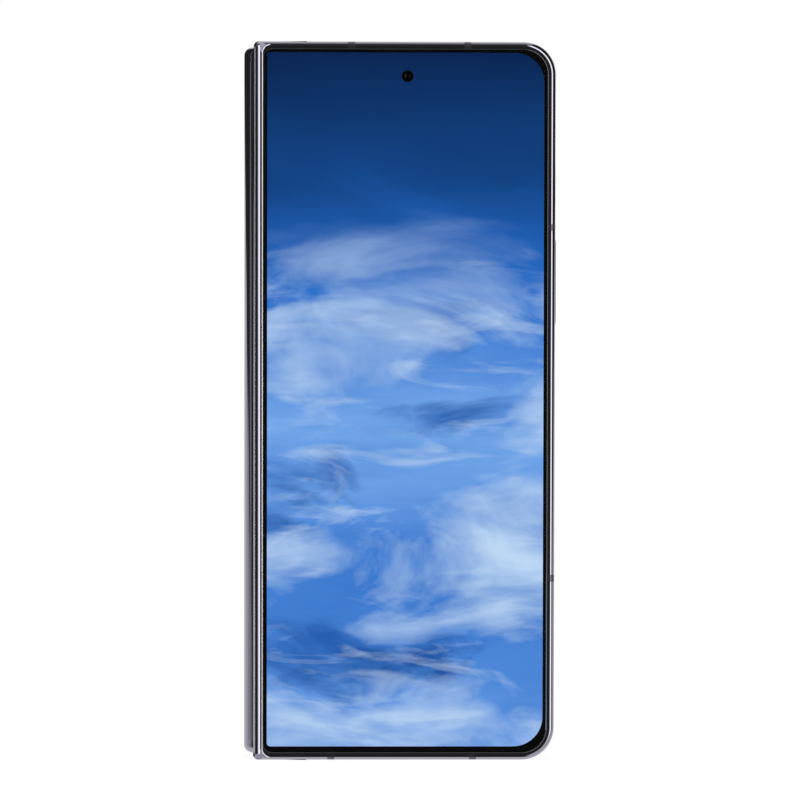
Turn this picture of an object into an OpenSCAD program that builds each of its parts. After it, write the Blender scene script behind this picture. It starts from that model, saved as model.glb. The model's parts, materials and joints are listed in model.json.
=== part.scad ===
// Book-style folding phone, folded shut and standing on its bottom edge.
// X runs from the hinge spine to the free edge and Z up the long edge. Y = 0 is the plane between the two
// halves: the cover-screen half lies at -Y and the camera half at +Y. A half is drawn at +Y and mirrored
// for the front.

/* [Body] */
// Height of the phone, along the fold
height = 154.9; // [150:0.1:162]
// Width of the folded phone, from the spine to the free edge
folded_w = 67.1; // [65:0.1:74]
// Thickness of one half
half_t = 6.1; // [6:0.05:6.6]
// Gap between the two inner faces when folded
inner_gap = 1.2; // [1.1:0.05:1.4]
// Corner radius at the free edge
corner_r = 7; // [5.5:0.1:8]
// Corner radius at the hinge edge
hinge_corner_r = 1.2; // [0.8:0.1:2]
// Width of the metal rim round each outer glass
rim_w = 1.6; // [1.3:0.05:1.8]
// Width of the metal rim beside the hinge
hinge_rim_w = 2.05; // [1.8:0.05:2.2]
// Radius of the rim's rounded outer edge
rim_round = 1.3; // [0.9:0.05:1.35]
// Thickness of the frame's side walls
wall_t = 1.9; // [1.8:0.05:1.95]
// Thickness of the outer glasses
glass_t = 0.55; // [0.45:0.05:0.6]
// How far the rim stays below the glass
glass_proud = 0.15; // [0.05:0.01:0.2]
// Width of the plastic antenna breaks
break_w = 1.5; // [1:0.1:2]

/* [Hinge] */
// Outer radius of the hinge spine about each axis
spine_r = 3.8; // [3.7:0.02:3.84]
// Wall thickness of the spine
spine_wall = 0.8; // [0.6:0.02:0.84]
// Distance of each hinge axis from the middle plane
axis_y = 1.8; // [1.76:0.01:1.84]
// Gap between the two halves' edges when open
open_gap = 0.2; // [0.1:0.05:0.5]
// How far the spine's ends stay inside the phone's ends
spine_inset = 1.2; // [1.1:0.05:1.6]
// Radius of the spine's rounded ends
spine_end_r = 1.7; // [1:0.1:2]
// Radius of the gear pins
pin_r = 0.6; // [0.5:0.05:0.7]
// Running clearance of pins and slides
run_fit = 0.05; // [0.03:0.01:0.08]
// Teeth on each timing gear
gear_teeth = 10; // [8:1:12]
// Thickness of the timing gears
gear_t = 1.1; // [0.9:0.05:1.3]
// Length of each hinge bracket along the fold
bracket_len = 12; // [9:0.5:16]
// Distance between neighbouring hinge brackets
bracket_pitch = 51; // [44:0.5:54]
// Angle that each rotator's rail covers
rail_angle = 80; // [70:1:84]

/* [Displays] */
// Thickness of the flexible display
flex_t = 0.3; // [0.25:0.01:0.32]
// Thickness of the plates and the lattice that back the flexible display
backing_t = 0.2; // [0.15:0.01:0.22]
// How far the flexible display's face lies below the frame's inner face
flex_sink = 0.05; // [0.03:0.01:0.08]
// How far the inner bezel stands proud of the frame
bezel_proud = 0.45; // [0.3:0.01:0.5]
// Width of the inner bezel
bezel_w = 4; // [3.6:0.1:5]
// How far the display's bend reaches from the hinge axis
bend_run = 7.2; // [7:0.1:7.5]
// Thickness of the cover display
cover_display_t = 0.25; // [0.2:0.01:0.28]
// Distance of the punch-hole camera from the top edge
punch_down = 7.6; // [7.2:0.1:9]
// Distance of the punch-hole camera from the phone's vertical centre line
punch_x = 1.8; // [-4:0.1:6]
// Radius of the punch hole
punch_r = 1.3; // [1:0.1:1.6]

/* [Cameras] */
// Width of the rear camera island
island_w = 17; // [16:0.1:19]
// Height of the rear camera island
island_h = 48; // [46:0.1:52]
// How far the island stands out of the rear glass
island_t = 1.1; // [0.8:0.05:1.2]
// Outer radius of the lens rings
lens_ring_r = 5.6; // [5.2:0.1:6]
// Distance between neighbouring lenses
lens_pitch = 13; // [12.4:0.1:13.4]
// Distance of the island from the free edge and from the top edge
island_margin = 5; // [4.5:0.1:6]

/* [Keys, tray and socket] */
// Length of the volume rocker
rocker_len = 18.3; // [15:0.1:20]
// Height of the volume rocker's middle above the phone's middle
rocker_z = 25.75; // [23.5:0.05:28.5]
// How far the volume rocker stands proud
rocker_proud = 0.6; // [0.3:0.05:0.7]
// Length of the side key
side_key_len = 13; // [10:0.1:14]
// Height of the side key's middle above the phone's middle
side_key_z = 2.55; // [0.5:0.05:4.5]
// Height of the tray's middle above the phone's middle
tray_z = 48.55; // [46.5:0.05:52]
// Width of the tray
tray_w = 12.3; // [11:0.1:13]
// Length of the tray
tray_len = 17; // [15:0.1:18]
// Thickness of the tray
tray_t = 1; // [0.9:0.05:1.1]
// Outer width of the USB-C socket's shell
usb_w = 8.94; // [8.6:0.02:9.1]
// Outer thickness of the USB-C socket's shell
usb_h = 3.16; // [3:0.02:3.3]
// Depth of the USB-C socket
usb_len = 7.4; // [6.5:0.1:8]

/* [Hidden] */
$fn = 48;

// Clearances between neighbouring pieces
gap = 0.1;
seat = 0.3;
// How far a cut runs past what it cuts, and how far two parts of one solid lap
over = 1;
joint_lap = 0.01;

// Main planes across the thickness, as distances from the middle plane
face_in = inner_gap / 2;
face_out = face_in + half_t;
rim_y = face_out - glass_proud;
glass_y = face_out - glass_t;
skin_y = axis_y + spine_r + gap;

// Main planes along the width
spine_x = -folded_w / 2;
free_x = folded_w / 2;
axis_x = spine_x + spine_r;
hinge_x = axis_x - axis_y + open_gap / 2;
glass_x0 = hinge_x + hinge_rim_w;
glass_x1 = free_x - rim_w;
glass_corner_r = corner_r - rim_w;
bay_x = axis_x + spine_r + 3 * gap;
mid_x = (hinge_x + free_x) / 2;
mid_z = height / 2;

// Middles of the rocker, the side key and the tray above the bottom edge
rocker_mid = mid_z + rocker_z;
key_mid = mid_z + side_key_z;
tray_mid = mid_z + tray_z;

// Layers of each half, from the fold outwards
flex_y = face_in + flex_sink;
backing_y = flex_y + flex_t;
plate_y = backing_y + backing_t;
plate_t = 0.65;
room_y = plate_y + plate_t;
hinge_wall_y = 3.45;
hinge_wall_w = 5;
riser_x = bay_x + hinge_wall_w;
riser_t = 0.6;
room_x = riser_x + riser_t;
room_x1 = free_x - wall_t;
room_mid_x = (room_x + room_x1) / 2;

// Batteries and boards. A bay is the room between a battery and the end wall.
charge_bay = 27;
main_bay = 57;
front_bottom_bay = 8;
battery_side_gap = 1;
battery_key_gap = 1.5;
battery_tray_gap = 5;
rear_battery_z0 = wall_t + charge_bay;
rear_battery_z1 = height - wall_t - main_bay;
front_battery_z0 = wall_t + front_bottom_bay;
front_battery_z1 = tray_mid - tray_w / 2 - battery_tray_gap;
battery_x0 = room_x + battery_side_gap;
battery_x1 = room_x1 - battery_key_gap;
battery_back = 0.75;
battery_y1 = glass_y - battery_back;
board_lift = 1.1;
board_y = room_y + board_lift;
board_t = 0.5;
board_gap = 1;

// Levels of the hinge's end zones, above the bottom edge
cap_plate_t = 0.75;
gear_z = spine_inset + cap_plate_t + gap;
washer_t = 0.2;
inner_plate_z = gear_z + gear_t + washer_t + gap;
fold_z0 = inner_plate_z + cap_plate_t + gap;
fold_z1 = height - fold_z0;
tooth_reach = 0.3;
hub_r = axis_y + tooth_reach;
arm_low = 0.35;
arm_high = 0.5;
cavity_r = spine_r - spine_wall;
lip_x = 0.45;

// Bend of the flexible display, which lies flat across the spine when the phone is open
bend_tilt = 42;
bend_steps = 24;

// ---------- shapes used by several pieces ----------

// Solid between two depths y0 and y1, from an outline drawn in X and Z
module slab(y0, y1) {
  translate([0, y1, 0]) rotate([90, 0, 0]) linear_extrude(y1 - y0) children();
}

// Small radius of corners that nothing shows of
nose_r = 0.5;

// Rounded rectangle in X and Z with one radius at the hinge side and one at the free side
module outline(x0, x1, z0, z1, r_hinge, r_free) {
  translate([x0 + r_hinge, z0]) square([x1 - x0 - r_hinge - r_free, z1 - z0]);
  translate([x0, z0 + r_hinge]) square([r_hinge + joint_lap, z1 - z0 - 2 * r_hinge]);
  translate([x1 - r_free - joint_lap, z0 + r_free]) square([r_free + joint_lap, z1 - z0 - 2 * r_free]);
  for (z = [z0 + r_hinge, z1 - r_hinge]) translate([x0 + r_hinge, z]) circle(r_hinge);
  for (z = [z0 + r_free, z1 - r_free]) translate([x1 - r_free, z]) circle(r_free);
}

module box(low, high) {
  translate(low) cube(high - low);
}

// Cylinder along Y between two depths
module post_y(x, z, r, y0, y1) {
  translate([x, y1, z]) rotate([90, 0, 0]) cylinder(h = y1 - y0, r = r);
}

// Cylinder along X
module post_x(x0, x1, y, z, r) {
  translate([x0, y, z]) rotate([0, 90, 0]) cylinder(h = x1 - x0, r = r);
}

// Long round-ended bar along Z, drawn by its middle, width across Y and length along Z
module key_bar(x0, x1, y, z, width, len) {
  box([x0, y - width / 2, z - len / 2 + width / 2], [x1, y + width / 2, z + len / 2 - width / 2]);
  for (s = [-1, 1]) post_x(x0, x1, y, z + s * (len - width) / 2, width / 2);
}

module front() {
  mirror([0, 1, 0]) children();
}

// The same piece at the bottom end and, upside down, at the top end
module both_ends() {
  children();
  translate([0, 0, height]) mirror([0, 0, 1]) children();
}

// ---------- metal frames ----------

function arc_points(cu, cv, r, a0, a1, n) =
  [for (i = [0:n]) let (a = a0 + (a1 - a0) * i / n) [cu + r * cos(a), cv + r * sin(a)]];

// Section of the side wall: distance inwards from the silhouette, distance from the middle plane
ledge_w = 1;
ledge_t = 0.7;
inner_chamfer = 0.25;
function wall_section(pocket_y) = concat(
  [[inner_chamfer, face_in], [wall_t, face_in], [wall_t, pocket_y - ledge_t]],
  [[rim_w + ledge_w, pocket_y - ledge_t], [rim_w + ledge_w, pocket_y], [rim_w, pocket_y], [rim_w, rim_y]],
  arc_points(rim_round, rim_y - rim_round, rim_round, 90, 180, 8),
  [[0, face_in + inner_chamfer]]
);

// Side wall along the bottom edge between two places along X
module bottom_wall(x0, x1, pocket_y) {
  translate([x0, 0, 0]) rotate([90, 0, 90]) linear_extrude(x1 - x0)
    polygon([for (p = wall_section(pocket_y)) [p[1], p[0]]]);
}

// Side wall along the free edge between two heights
module free_wall(z0, z1, pocket_y) {
  translate([0, 0, z0]) linear_extrude(z1 - z0)
    polygon([for (p = wall_section(pocket_y)) [free_x - p[0], p[1]]]);
}

module corner_wall(pocket_y) {
  translate([free_x - corner_r, 0, corner_r]) rotate([-90, 0, 0]) rotate_extrude(angle = 90, $fn = 96)
    polygon([for (p = wall_section(pocket_y)) [corner_r - p[0], p[1]]]);
}

hinge_round = 0.65;
glass_gap = 0.05;
module hinge_skin(pocket_y) {
  section = concat(
    [[hinge_x, skin_y], [room_x, skin_y], [room_x, pocket_y], [glass_x0 - glass_gap, pocket_y]],
    [[glass_x0 - glass_gap, rim_y]],
    arc_points(hinge_x + hinge_round, rim_y - hinge_round, hinge_round, 90, 180, 6)
  );
  linear_extrude(height) polygon(section);
}

boss_r = 1.5;
screw_r = 0.4;
head_r = 0.75;
head_t = 0.35;
foot_t = 0.55;
hinge_screw_len = 1.8;
screw_tip_gap = 0.1;
board_screw_tip = 0.4;
arm_screw_inset = 2.1;
arm_screw_up = 4.4;
arm_screw_x = riser_x - arm_screw_inset;
arm_screw_z = gear_z + arm_screw_up;
bracket_zs = [for (i = [-1:1]) mid_z + i * bracket_pitch];
rotator_screw_inset = 3;
rotator_screw_dz = bracket_len / 2 - rotator_screw_inset;
screw_places = concat(
  [[arm_screw_x, arm_screw_z], [arm_screw_x, height - arm_screw_z]],
  [for (z = bracket_zs) for (s = [-1, 1]) [arm_screw_x, z + s * rotator_screw_dz]]
);

// The flexible cable crosses the hinge above the uppermost bracket
cable_down = 14;
cable_z = height - cable_down;
cable_w = 8;
cable_room = 3;

// bosses holds the X, Z and top of each boss that carries a board
module frame_half(pocket_y, bosses) {
  difference() {
    union() {
      intersection() {
        union() {
          both_ends() bottom_wall(hinge_x, free_x - corner_r, pocket_y);
          both_ends() corner_wall(pocket_y);
          free_wall(corner_r, height - corner_r, pocket_y);
          hinge_skin(pocket_y);
        }
        slab(0, face_out + over) outline(hinge_x, free_x, 0, height, hinge_corner_r, corner_r);
      }
      // plate that carries the flexible display
      slab(plate_y, room_y)
        outline(riser_x, free_x - wall_t / 2, wall_t / 2, height - wall_t / 2, nose_r, corner_r - wall_t / 2);
      // wall that carries the hinge arms
      box([bay_x, hinge_wall_y, wall_t / 2], [riser_x + gap, pocket_y, height - wall_t / 2]);
      box([riser_x, plate_y, wall_t / 2], [room_x, pocket_y, height - wall_t / 2]);
      for (p = bosses) post_y(p[0], p[1], boss_r, plate_y, p[2]);
    }
    // bay in which the spine turns
    box([hinge_x - over, 0, spine_inset - gap], [bay_x, skin_y, height - spine_inset + gap]);
    // rounded inner corners of the end walls, which pass each other as the halves swing
    both_ends() difference() {
      box([hinge_x - over, -over, -over], [axis_x, axis_y, spine_inset]);
      translate([axis_x, axis_y, -2 * over])
        cylinder(h = 2 * spine_inset + 2 * over, r = axis_y - open_gap / 2);
    }
    // room for the arms' roots beside the end walls
    both_ends() box([bay_x - over, 0, spine_inset - gap], [riser_x, hinge_wall_y, wall_t + over]);
    for (p = screw_places)
      post_y(p[0], p[1], screw_r, hinge_wall_y - over, hinge_wall_y + hinge_screw_len + screw_tip_gap);
    for (p = bosses) post_y(p[0], p[1], screw_r, plate_y + board_screw_tip - screw_tip_gap, p[2] + over);
    // window for the flexible cable
    box([riser_x - over, 0, cable_z - cable_w / 2 - gap],
      [room_x + cable_room, hinge_wall_y, cable_z + cable_w / 2 + gap]);
  }
}

// ---------- slots in the end walls, and antenna breaks ----------

slot_r = 0.5;
slot_half_len = 0.4;
slot_pitch = 2;
speaker_slot_count = 5;
top_slot_count = 4;
function slot_row_half(count) = (count - 1) / 2 * slot_pitch + slot_r;

inner_cam_x = 6;
inner_cam_down = 8;
inner_cam_z = height - wall_t - inner_cam_down;
inner_cam_r = 2.2;
inner_cam_neck_r = 1.5;
speaker_inset = 4.75;
speaker_x = free_x - corner_r - speaker_inset;
top_slot_dx = 10.2;
top_slot_x = inner_cam_x - top_slot_dx;
rear_mic_dx = 8.2;
rear_mic_x = mid_x - rear_mic_dx;
front_mic_dx = 12;
front_mic_x = mid_x - front_mic_dx;

// The breaks stand beside the slots, towards the free edge, and above and below the keys
top_break_gap = 2.75;
bottom_break_gap = 1.35;
top_break_inset = 19;
bottom_break_dx = 15.7;
low_break_dz = 38.05;
high_break_dz = 37.55;
top_break_xs = [top_slot_x - slot_row_half(top_slot_count) - top_break_gap, free_x - top_break_inset];
bottom_break_xs = [mid_x - bottom_break_dx, speaker_x - slot_row_half(speaker_slot_count) - bottom_break_gap];
side_break_zs = [mid_z - low_break_dz, mid_z + high_break_dz];

// Plastic strips that fill the cuts: the wall's own section, without the ledge
module breaks(pocket_y) {
  color("#6f7078") intersection() {
    union() {
      both_ends() bottom_wall(hinge_x, free_x - corner_r, pocket_y);
      free_wall(corner_r, height - corner_r, pocket_y);
    }
    break_strips();
  }
}

// A cut is as deep as the rim is wide, so that the wall behind it stays whole
break_depth = 1.2;
module break_strips() {
  for (x = top_break_xs)
    box([x - break_w / 2, 0, height - break_depth], [x + break_w / 2, face_out, height + over]);
  for (x = bottom_break_xs)
    box([x - break_w / 2, 0, -over], [x + break_w / 2, face_out, break_depth]);
  for (z = side_break_zs)
    box([free_x - break_depth, 0, z - break_w / 2], [free_x + over, face_out, z + break_w / 2]);
}

// ---------- rear half ----------

back_y = glass_y;
key_y = face_in + half_t / 2;
key_w = 1.9;
side_key_w = 2.3;
usb_y = key_y;
usb_t = 0.3;
charge_board_y = usb_y + usb_h / 2;

module usb_stadium(grow) {
  r = usb_h / 2 + grow;
  for (s = [-1, 1]) translate([s * (usb_w - usb_h) / 2, 0]) circle(r);
  translate([-(usb_w - usb_h) / 2, -r]) square([usb_w - usb_h, 2 * r]);
}

module usb_prism(z0, z1, grow) {
  translate([mid_x, usb_y, z0]) linear_extrude(z1 - z0) usb_stadium(grow);
}

module slot_row(x, z0, z1, count) {
  for (i = [0:count - 1])
    translate([x + (i - (count - 1) / 2) * slot_pitch, key_y, z0]) {
      for (s = [-1, 1]) translate([0, s * slot_half_len, 0]) cylinder(h = z1 - z0, r = slot_r);
      translate([-slot_r, -slot_half_len, 0]) cube([2 * slot_r, 2 * slot_half_len, z1 - z0]);
    }
}

module rear_frame() {
  color("#3a3842") difference() {
    frame_half(back_y, rear_bosses);
    break_strips();
    key_bar(free_x - wall_t - over, free_x + over, key_y, rocker_mid, key_w + 2 * gap, rocker_len + 2 * gap);
    key_bar(free_x - wall_t - over, free_x + over, key_y, key_mid, side_key_w + 2 * gap,
      side_key_len + 2 * gap);
    usb_prism(-over, wall_t + over, 0);
    slot_row(speaker_x, -over, wall_t + over, speaker_slot_count);
    slot_row(top_slot_x, height - wall_t - over, height + over, top_slot_count);
    translate([rear_mic_x, key_y, -over]) cylinder(h = wall_t + 2 * over, r = slot_r);
    // well of the inner camera
    post_y(inner_cam_x, inner_cam_z, inner_cam_r + gap, 0, room_y + over);
  }
}

// Outer glass of a half
module glass_plate() {
  slab(glass_y, face_out)
    outline(glass_x0, glass_x1, rim_w, height - rim_w, hinge_glass_r, glass_corner_r);
}
hinge_glass_r = 1.9;

island_x = free_x - island_margin - island_w / 2;
island_z = height - island_margin - island_h / 2;
island_r = island_w / 2;
flash_r = 1.9;
// The island's length that the lens rings and the flash leave free, and its shares above and below them
share_above = 0.35;
share_below = 0.44;
island_spare = island_h - 2 * lens_pitch - 2 * lens_ring_r - 2 * flash_r;
spare_above = share_above * island_spare;
spare_below = share_below * island_spare;
top_lens_z = island_z + island_h / 2 - spare_above - lens_ring_r;
lens_zs = [for (i = [0:2]) top_lens_z - i * lens_pitch];
flash_z = island_z - island_h / 2 + spare_below + flash_r;
ring_w = 1.3;
lens_r = lens_ring_r - ring_w;
ring_proud = 0.25;
island_edge = 0.3;
plug_inset = 0.6;
plug_sink = 0.2;

module rear_glass() {
  color("#1b1a20") difference() {
    glass_plate();
    slab(0, face_out + over) island_outline(-plug_inset);
  }
}

module island_outline(grow) {
  r = island_r + grow;
  for (s = [-1, 1]) translate([island_x, island_z + s * (island_h - island_w) / 2]) circle(r, $fn = 72);
  translate([island_x - r, island_z - (island_h - island_w) / 2]) square([2 * r, island_h - island_w]);
}

// Raised island: a plug through the glass and a plate over it, drilled for the lenses and the flash
module camera_island() {
  color("#4a4852") difference() {
    union() {
      slab(glass_y - plug_sink, face_out + joint_lap) island_outline(-plug_inset - gap);
      slab(face_out, face_out + island_t - island_edge) island_outline(0);
      slab(face_out, face_out + island_t) island_outline(-island_edge);
    }
    for (z = lens_zs) post_y(island_x, z, lens_ring_r, 0, face_out + island_t + over);
    post_y(island_x, flash_z, flash_r, 0, face_out + island_t + over);
  }
}

module lens_rings() {
  color("#2a2930") for (z = lens_zs) difference() {
    post_y(island_x, z, lens_ring_r, glass_y - plug_sink, face_out + island_t + ring_proud);
    post_y(island_x, z, lens_r, 0, face_out + island_t + over);
  }
}

lens_glass_t = 0.7;
barrel_gap = 1;
module lens_glasses() {
  color("#0c0e16") for (z = lens_zs)
    post_y(island_x, z, lens_r, face_out + island_t - lens_glass_t, face_out + island_t);
}

module camera_modules() {
  color("#26262c") for (z = lens_zs) union() {
    box([island_x - module_side, board_y, z - module_side],
      [island_x + module_side, glass_y - plug_sink - gap, z + module_side]);
    post_y(island_x, z, lens_r - barrel_gap, glass_y - 2 * plug_sink, face_out + island_t - lens_glass_t);
  }
}

module flash_window() {
  color("#e8e2c8") post_y(island_x, flash_z, flash_r, glass_y - plug_sink, face_out + island_t);
}

// Battery pouch with rounded long edges
pouch_flat = 0.2;
module pouch(x0, x1, z0, z1, y0, y1) {
  r = (y1 - y0) / 2 - pouch_flat;
  translate([0, 0, z0]) linear_extrude(z1 - z0) union() {
    translate([x0 + r, y0]) square([x1 - x0 - 2 * r, y1 - y0]);
    translate([x0, y0 + r]) square([x1 - x0, y1 - y0 - 2 * r]);
    for (x = [x0 + r, x1 - r]) for (y = [y0 + r, y1 - r]) translate([x, y]) circle(r);
  }
}

module rear_battery() {
  color("#2d2f36")
    pouch(battery_x0, battery_x1, rear_battery_z0, rear_battery_z1, room_y, battery_y1);
}

// Boards sit on the screw bosses. The main board leaves the camera column free.
module_side = 5.2;
board_x0 = room_x + gap;
board_x1 = island_x - module_side - 2 * gap;
main_board_z0 = rear_battery_z1 + board_gap;
main_board_z1 = height - wall_t - gap;
board_wing_z1 = lens_zs[2] - module_side - board_gap;
charge_hinge_gap = 1.1;
charge_free_gap = 10.6;
charge_up = 16;
charge_boss_up = 3.5;
charge_x0 = room_x + charge_hinge_gap;
charge_x1 = room_x1 - charge_free_gap;
charge_bar_z = wall_t + charge_up;
charge_bar_w = 6.5;
charge_boss_z = charge_bar_z + charge_boss_up;
boss_inset = 4;
boss_edge = 2.4;
top_boss_down = 3.5;
low_boss_edge = 3;
rear_bosses = [
  [room_x + boss_edge, height - wall_t - top_boss_down, board_y],
  [room_x1 - low_boss_edge, rear_battery_z1 + low_boss_edge, board_y],
  [charge_x0 + boss_inset, charge_boss_z, charge_board_y],
  [charge_x1 - boss_inset, charge_boss_z, charge_board_y]
];
module main_board() {
  color("#1f4a38") difference() {
    slab(board_y, board_y + board_t) union() {
      translate([board_x0, main_board_z0]) square([board_x1 - board_x0, main_board_z1 - main_board_z0]);
      translate([board_x1 - board_gap, main_board_z0])
        square([battery_x1 - board_x1 + board_gap, board_wing_z1 - main_board_z0]);
    }
    post_y(inner_cam_x, inner_cam_z, inner_cam_r + gap, 0, face_out);
    for (p = rear_bosses) post_y(p[0], p[1], screw_r, 0, face_out);
    slab(0, face_out)
      translate([top_slot_x - top_speaker_w / 2 - gap, height - wall_t - top_speaker_h - seat])
        square([top_speaker_w + 2 * gap, top_speaker_h + over]);
  }
}

// Shielding can over the chips, open towards the board
shield_t = 1.3;
shield_wall = 0.2;
shield_gap = 1.5;
shield_inset = 2;
shield_x0 = room_x + shield_inset;
module shield(x0, x1, z0, len, y0) {
  difference() {
    box([x0, y0, z0], [x1, y0 + shield_t, z0 + len]);
    box([x0 + shield_wall, y0 - over, z0 + shield_wall],
      [x1 - shield_wall, y0 + shield_t - shield_wall, z0 + len - shield_wall]);
  }
}

low_can_w = 12;
low_can_len = 16;
side_can_len = 12;
high_can_w = 16;
high_can_len = 12;
can_row_gap = 2;
module chip_shields() {
  y = board_y + board_t;
  z = main_board_z0 + low_boss_edge;
  color("#b9bcc2") {
    shield(shield_x0, shield_x0 + low_can_w, z, low_can_len, y);
    shield(shield_x0 + low_can_w + shield_gap, board_x1 - shield_gap, z, side_can_len, y);
    shield(shield_x0, shield_x0 + high_can_w, z + low_can_len + can_row_gap, high_can_len, y);
  }
}

// Board with a tongue that carries the socket
charge_tongue_w = 16;
charge_tongue_z0 = rim_w + ledge_w + gap;
module charge_board() {
  color("#1f4a38") difference() {
    slab(charge_board_y, charge_board_y + board_t) union() {
      translate([mid_x - charge_tongue_w / 2, charge_tongue_z0])
        square([charge_tongue_w, charge_bar_z + over - charge_tongue_z0]);
      translate([charge_x0, charge_bar_z]) square([charge_x1 - charge_x0, charge_bar_w]);
    }
    for (p = rear_bosses) post_y(p[0], p[1], screw_r, 0, face_out);
  }
}

usb_mouth_z = 0.3;
usb_back_t = 0.5;
tongue_z0 = 1.4;
tongue_w = 6.7;
tongue_t = 0.7;
module usb_shell() {
  color("#9a9ca4") difference() {
    usb_prism(usb_mouth_z, usb_len, 0);
    usb_prism(-over, usb_len - usb_back_t, -usb_t);
  }
}

module usb_tongue() {
  color("#15151a") box([mid_x - tongue_w / 2, usb_y - tongue_t / 2, tongue_z0],
    [mid_x + tongue_w / 2, usb_y + tongue_t / 2, usb_len - usb_back_t]);
}

// Loudspeaker box with its corner cut away for the frame's round corner
speaker_half_w = 7.8;
speaker_len = 13;
speaker_side_gap = 0.6;
speaker_step = 3.3;
module loudspeaker() {
  x0 = speaker_x - speaker_half_w;
  x1 = room_x1 - speaker_side_gap;
  z0 = wall_t + seat;
  z1 = wall_t + speaker_len;
  color("#222228") union() {
    box([x0, room_y, z0], [x1 - speaker_step, battery_y1, z1]);
    box([x0, room_y, z0 + speaker_step], [x1, battery_y1, z1]);
  }
}

top_speaker_w = 9.2;
top_speaker_h = 6.8;
module top_speaker() {
  color("#222228") box([top_slot_x - top_speaker_w / 2, room_y, height - wall_t - top_speaker_h],
    [top_slot_x + top_speaker_w / 2, battery_y1, height - wall_t - seat]);
}

// Dust meshes pressed into the slots
mesh_t = 0.25;
mesh_depth = 0.6;
module speaker_meshes() {
  color("#101014") {
    slot_row(speaker_x, mesh_depth, mesh_depth + mesh_t, speaker_slot_count);
    slot_row(top_slot_x, height - mesh_depth - mesh_t, height - mesh_depth, top_slot_count);
    translate([rear_mic_x, key_y, mesh_depth]) cylinder(h = mesh_t, r = slot_r);
  }
}

motor_w = 8;
motor_len = 14;
motor_gap = 2;
module vibration_motor() {
  z0 = wall_t + motor_gap;
  color("#8e9098")
    box([battery_x0, room_y, z0], [battery_x0 + motor_w, battery_y1 - 4 * gap, z0 + motor_len]);
}

// Charging coil on the battery, with an empty middle
coil_margin = 4.6;
coil_t = 0.35;
coil_lift = 0.15;
coil_r = (battery_x1 - battery_x0) / 2 - coil_margin;
coil_z = (rear_battery_z0 + rear_battery_z1) / 2;
module charging_coil() {
  color("#b5723c") difference() {
    post_y(room_mid_x, coil_z, coil_r, battery_y1 + coil_lift, battery_y1 + coil_lift + coil_t);
    post_y(room_mid_x, coil_z, coil_r / 2, 0, face_out);
  }
}

inner_cam_depth = 1.8;
inner_lens_sink = 0.02;
module inner_camera() {
  color("#15161c") union() {
    post_y(inner_cam_x, inner_cam_z, inner_cam_r, plate_y + gap, board_y + inner_cam_depth);
    post_y(inner_cam_x, inner_cam_z, inner_cam_neck_r, flex_y + inner_lens_sink, plate_y + 2 * gap);
  }
}

// Rim round the flexible display, open towards the hinge and narrower along the free edge
bezel_start = 2.4;
bezel_x0 = axis_x + bezel_start;
bezel_edge = 0.9;
bezel_side_less = 2;
bezel_side_w = bezel_w - bezel_side_less;
bezel_slack = 5;
module bezel_half() {
  low = bezel_edge + bezel_w;
  color("#0b0b0d") slab(face_in - bezel_proud, face_in) difference() {
    outline(bezel_x0 - bezel_slack, free_x - bezel_edge, bezel_edge, height - bezel_edge,
      nose_r, corner_r - bezel_edge);
    outline(bezel_x0 - 2 * bezel_slack, free_x - bezel_edge - bezel_side_w, low, height - low,
      nose_r, corner_r - bezel_edge - bezel_side_w);
    translate([bezel_x0 - 2 * bezel_slack, 0]) square([2 * bezel_slack, height]);
  }
}

// The flat stretch of the flexible display, from the bend to the frame's free side
flat_x0 = axis_x + bend_run;
flat_side_gap = 0.4;
flat_x1 = free_x - wall_t - flat_side_gap;
sheet_corner_r = 3;
module flat_sheet(y0, y1) {
  slab(y0, y1) {
    translate([flat_x0, fold_z0]) square([sheet_corner_r, fold_z1 - fold_z0]);
    outline(flat_x0 + over, flat_x1, fold_z0, fold_z1, nose_r, sheet_corner_r);
  }
}

module camera_hole(r) {
  post_y(inner_cam_x, inner_cam_z, r, 0, face_out);
}

module rear_display() {
  color("#08090d") difference() {
    flat_sheet(flex_y, backing_y);
    camera_hole(inner_cam_neck_r + gap);
  }
}

module rear_support_plate() {
  color("#7d8087") difference() {
    flat_sheet(backing_y, plate_y);
    camera_hole(inner_cam_neck_r + gap);
  }
}

// ---------- hinge ----------

// Timing gear: a round hub with tapered teeth, one of which points towards angle a0
tooth_root_w = 0.62;
tooth_tip_w = 0.27;
tooth_h = 0.65;
tooth_sink = 0.25;
module gear_hub(a0) {
  root_r = hub_r - tooth_h;
  cylinder(h = gear_t, r = root_r);
  for (i = [0:gear_teeth - 1]) rotate([0, 0, a0 + i * 360 / gear_teeth]) linear_extrude(gear_t)
    polygon([[root_r - tooth_sink, -tooth_root_w / 2], [hub_r, -tooth_tip_w / 2],
      [hub_r, tooth_tip_w / 2], [root_r - tooth_sink, tooth_root_w / 2]]);
}

// Arm from the gear to the frame's hinge wall, at the bottom end
foot_gap = 0.25;
foot_x0 = bay_x + foot_gap;
foot_y = hinge_wall_y - foot_t;
foot_end = 1.6;
arm_root_inset = 1;
module gear_arm(a0) {
  difference() {
    union() {
      translate([axis_x, axis_y, gear_z]) gear_hub(a0);
      box([axis_x, axis_y - arm_high, gear_z], [foot_x0 + over, axis_y + arm_low, gear_z + gear_t]);
      box([foot_x0, axis_y - arm_high, gear_z], [riser_x - arm_root_inset, hinge_wall_y, gear_z + gear_t]);
      box([foot_x0, foot_y, gear_z], [riser_x - gap, hinge_wall_y, arm_screw_z + foot_end]);
    }
    translate([axis_x, axis_y, 0]) cylinder(h = height / 2, r = pin_r + run_fit);
    post_y(arm_screw_x, arm_screw_z, screw_r, 0, face_out);
  }
}

// The front gear has a tooth towards the rear axis and the rear gear has a gap there
module front_gear_arms() {
  color("#8a8d94") front() both_ends() gear_arm(-90);
}

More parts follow.
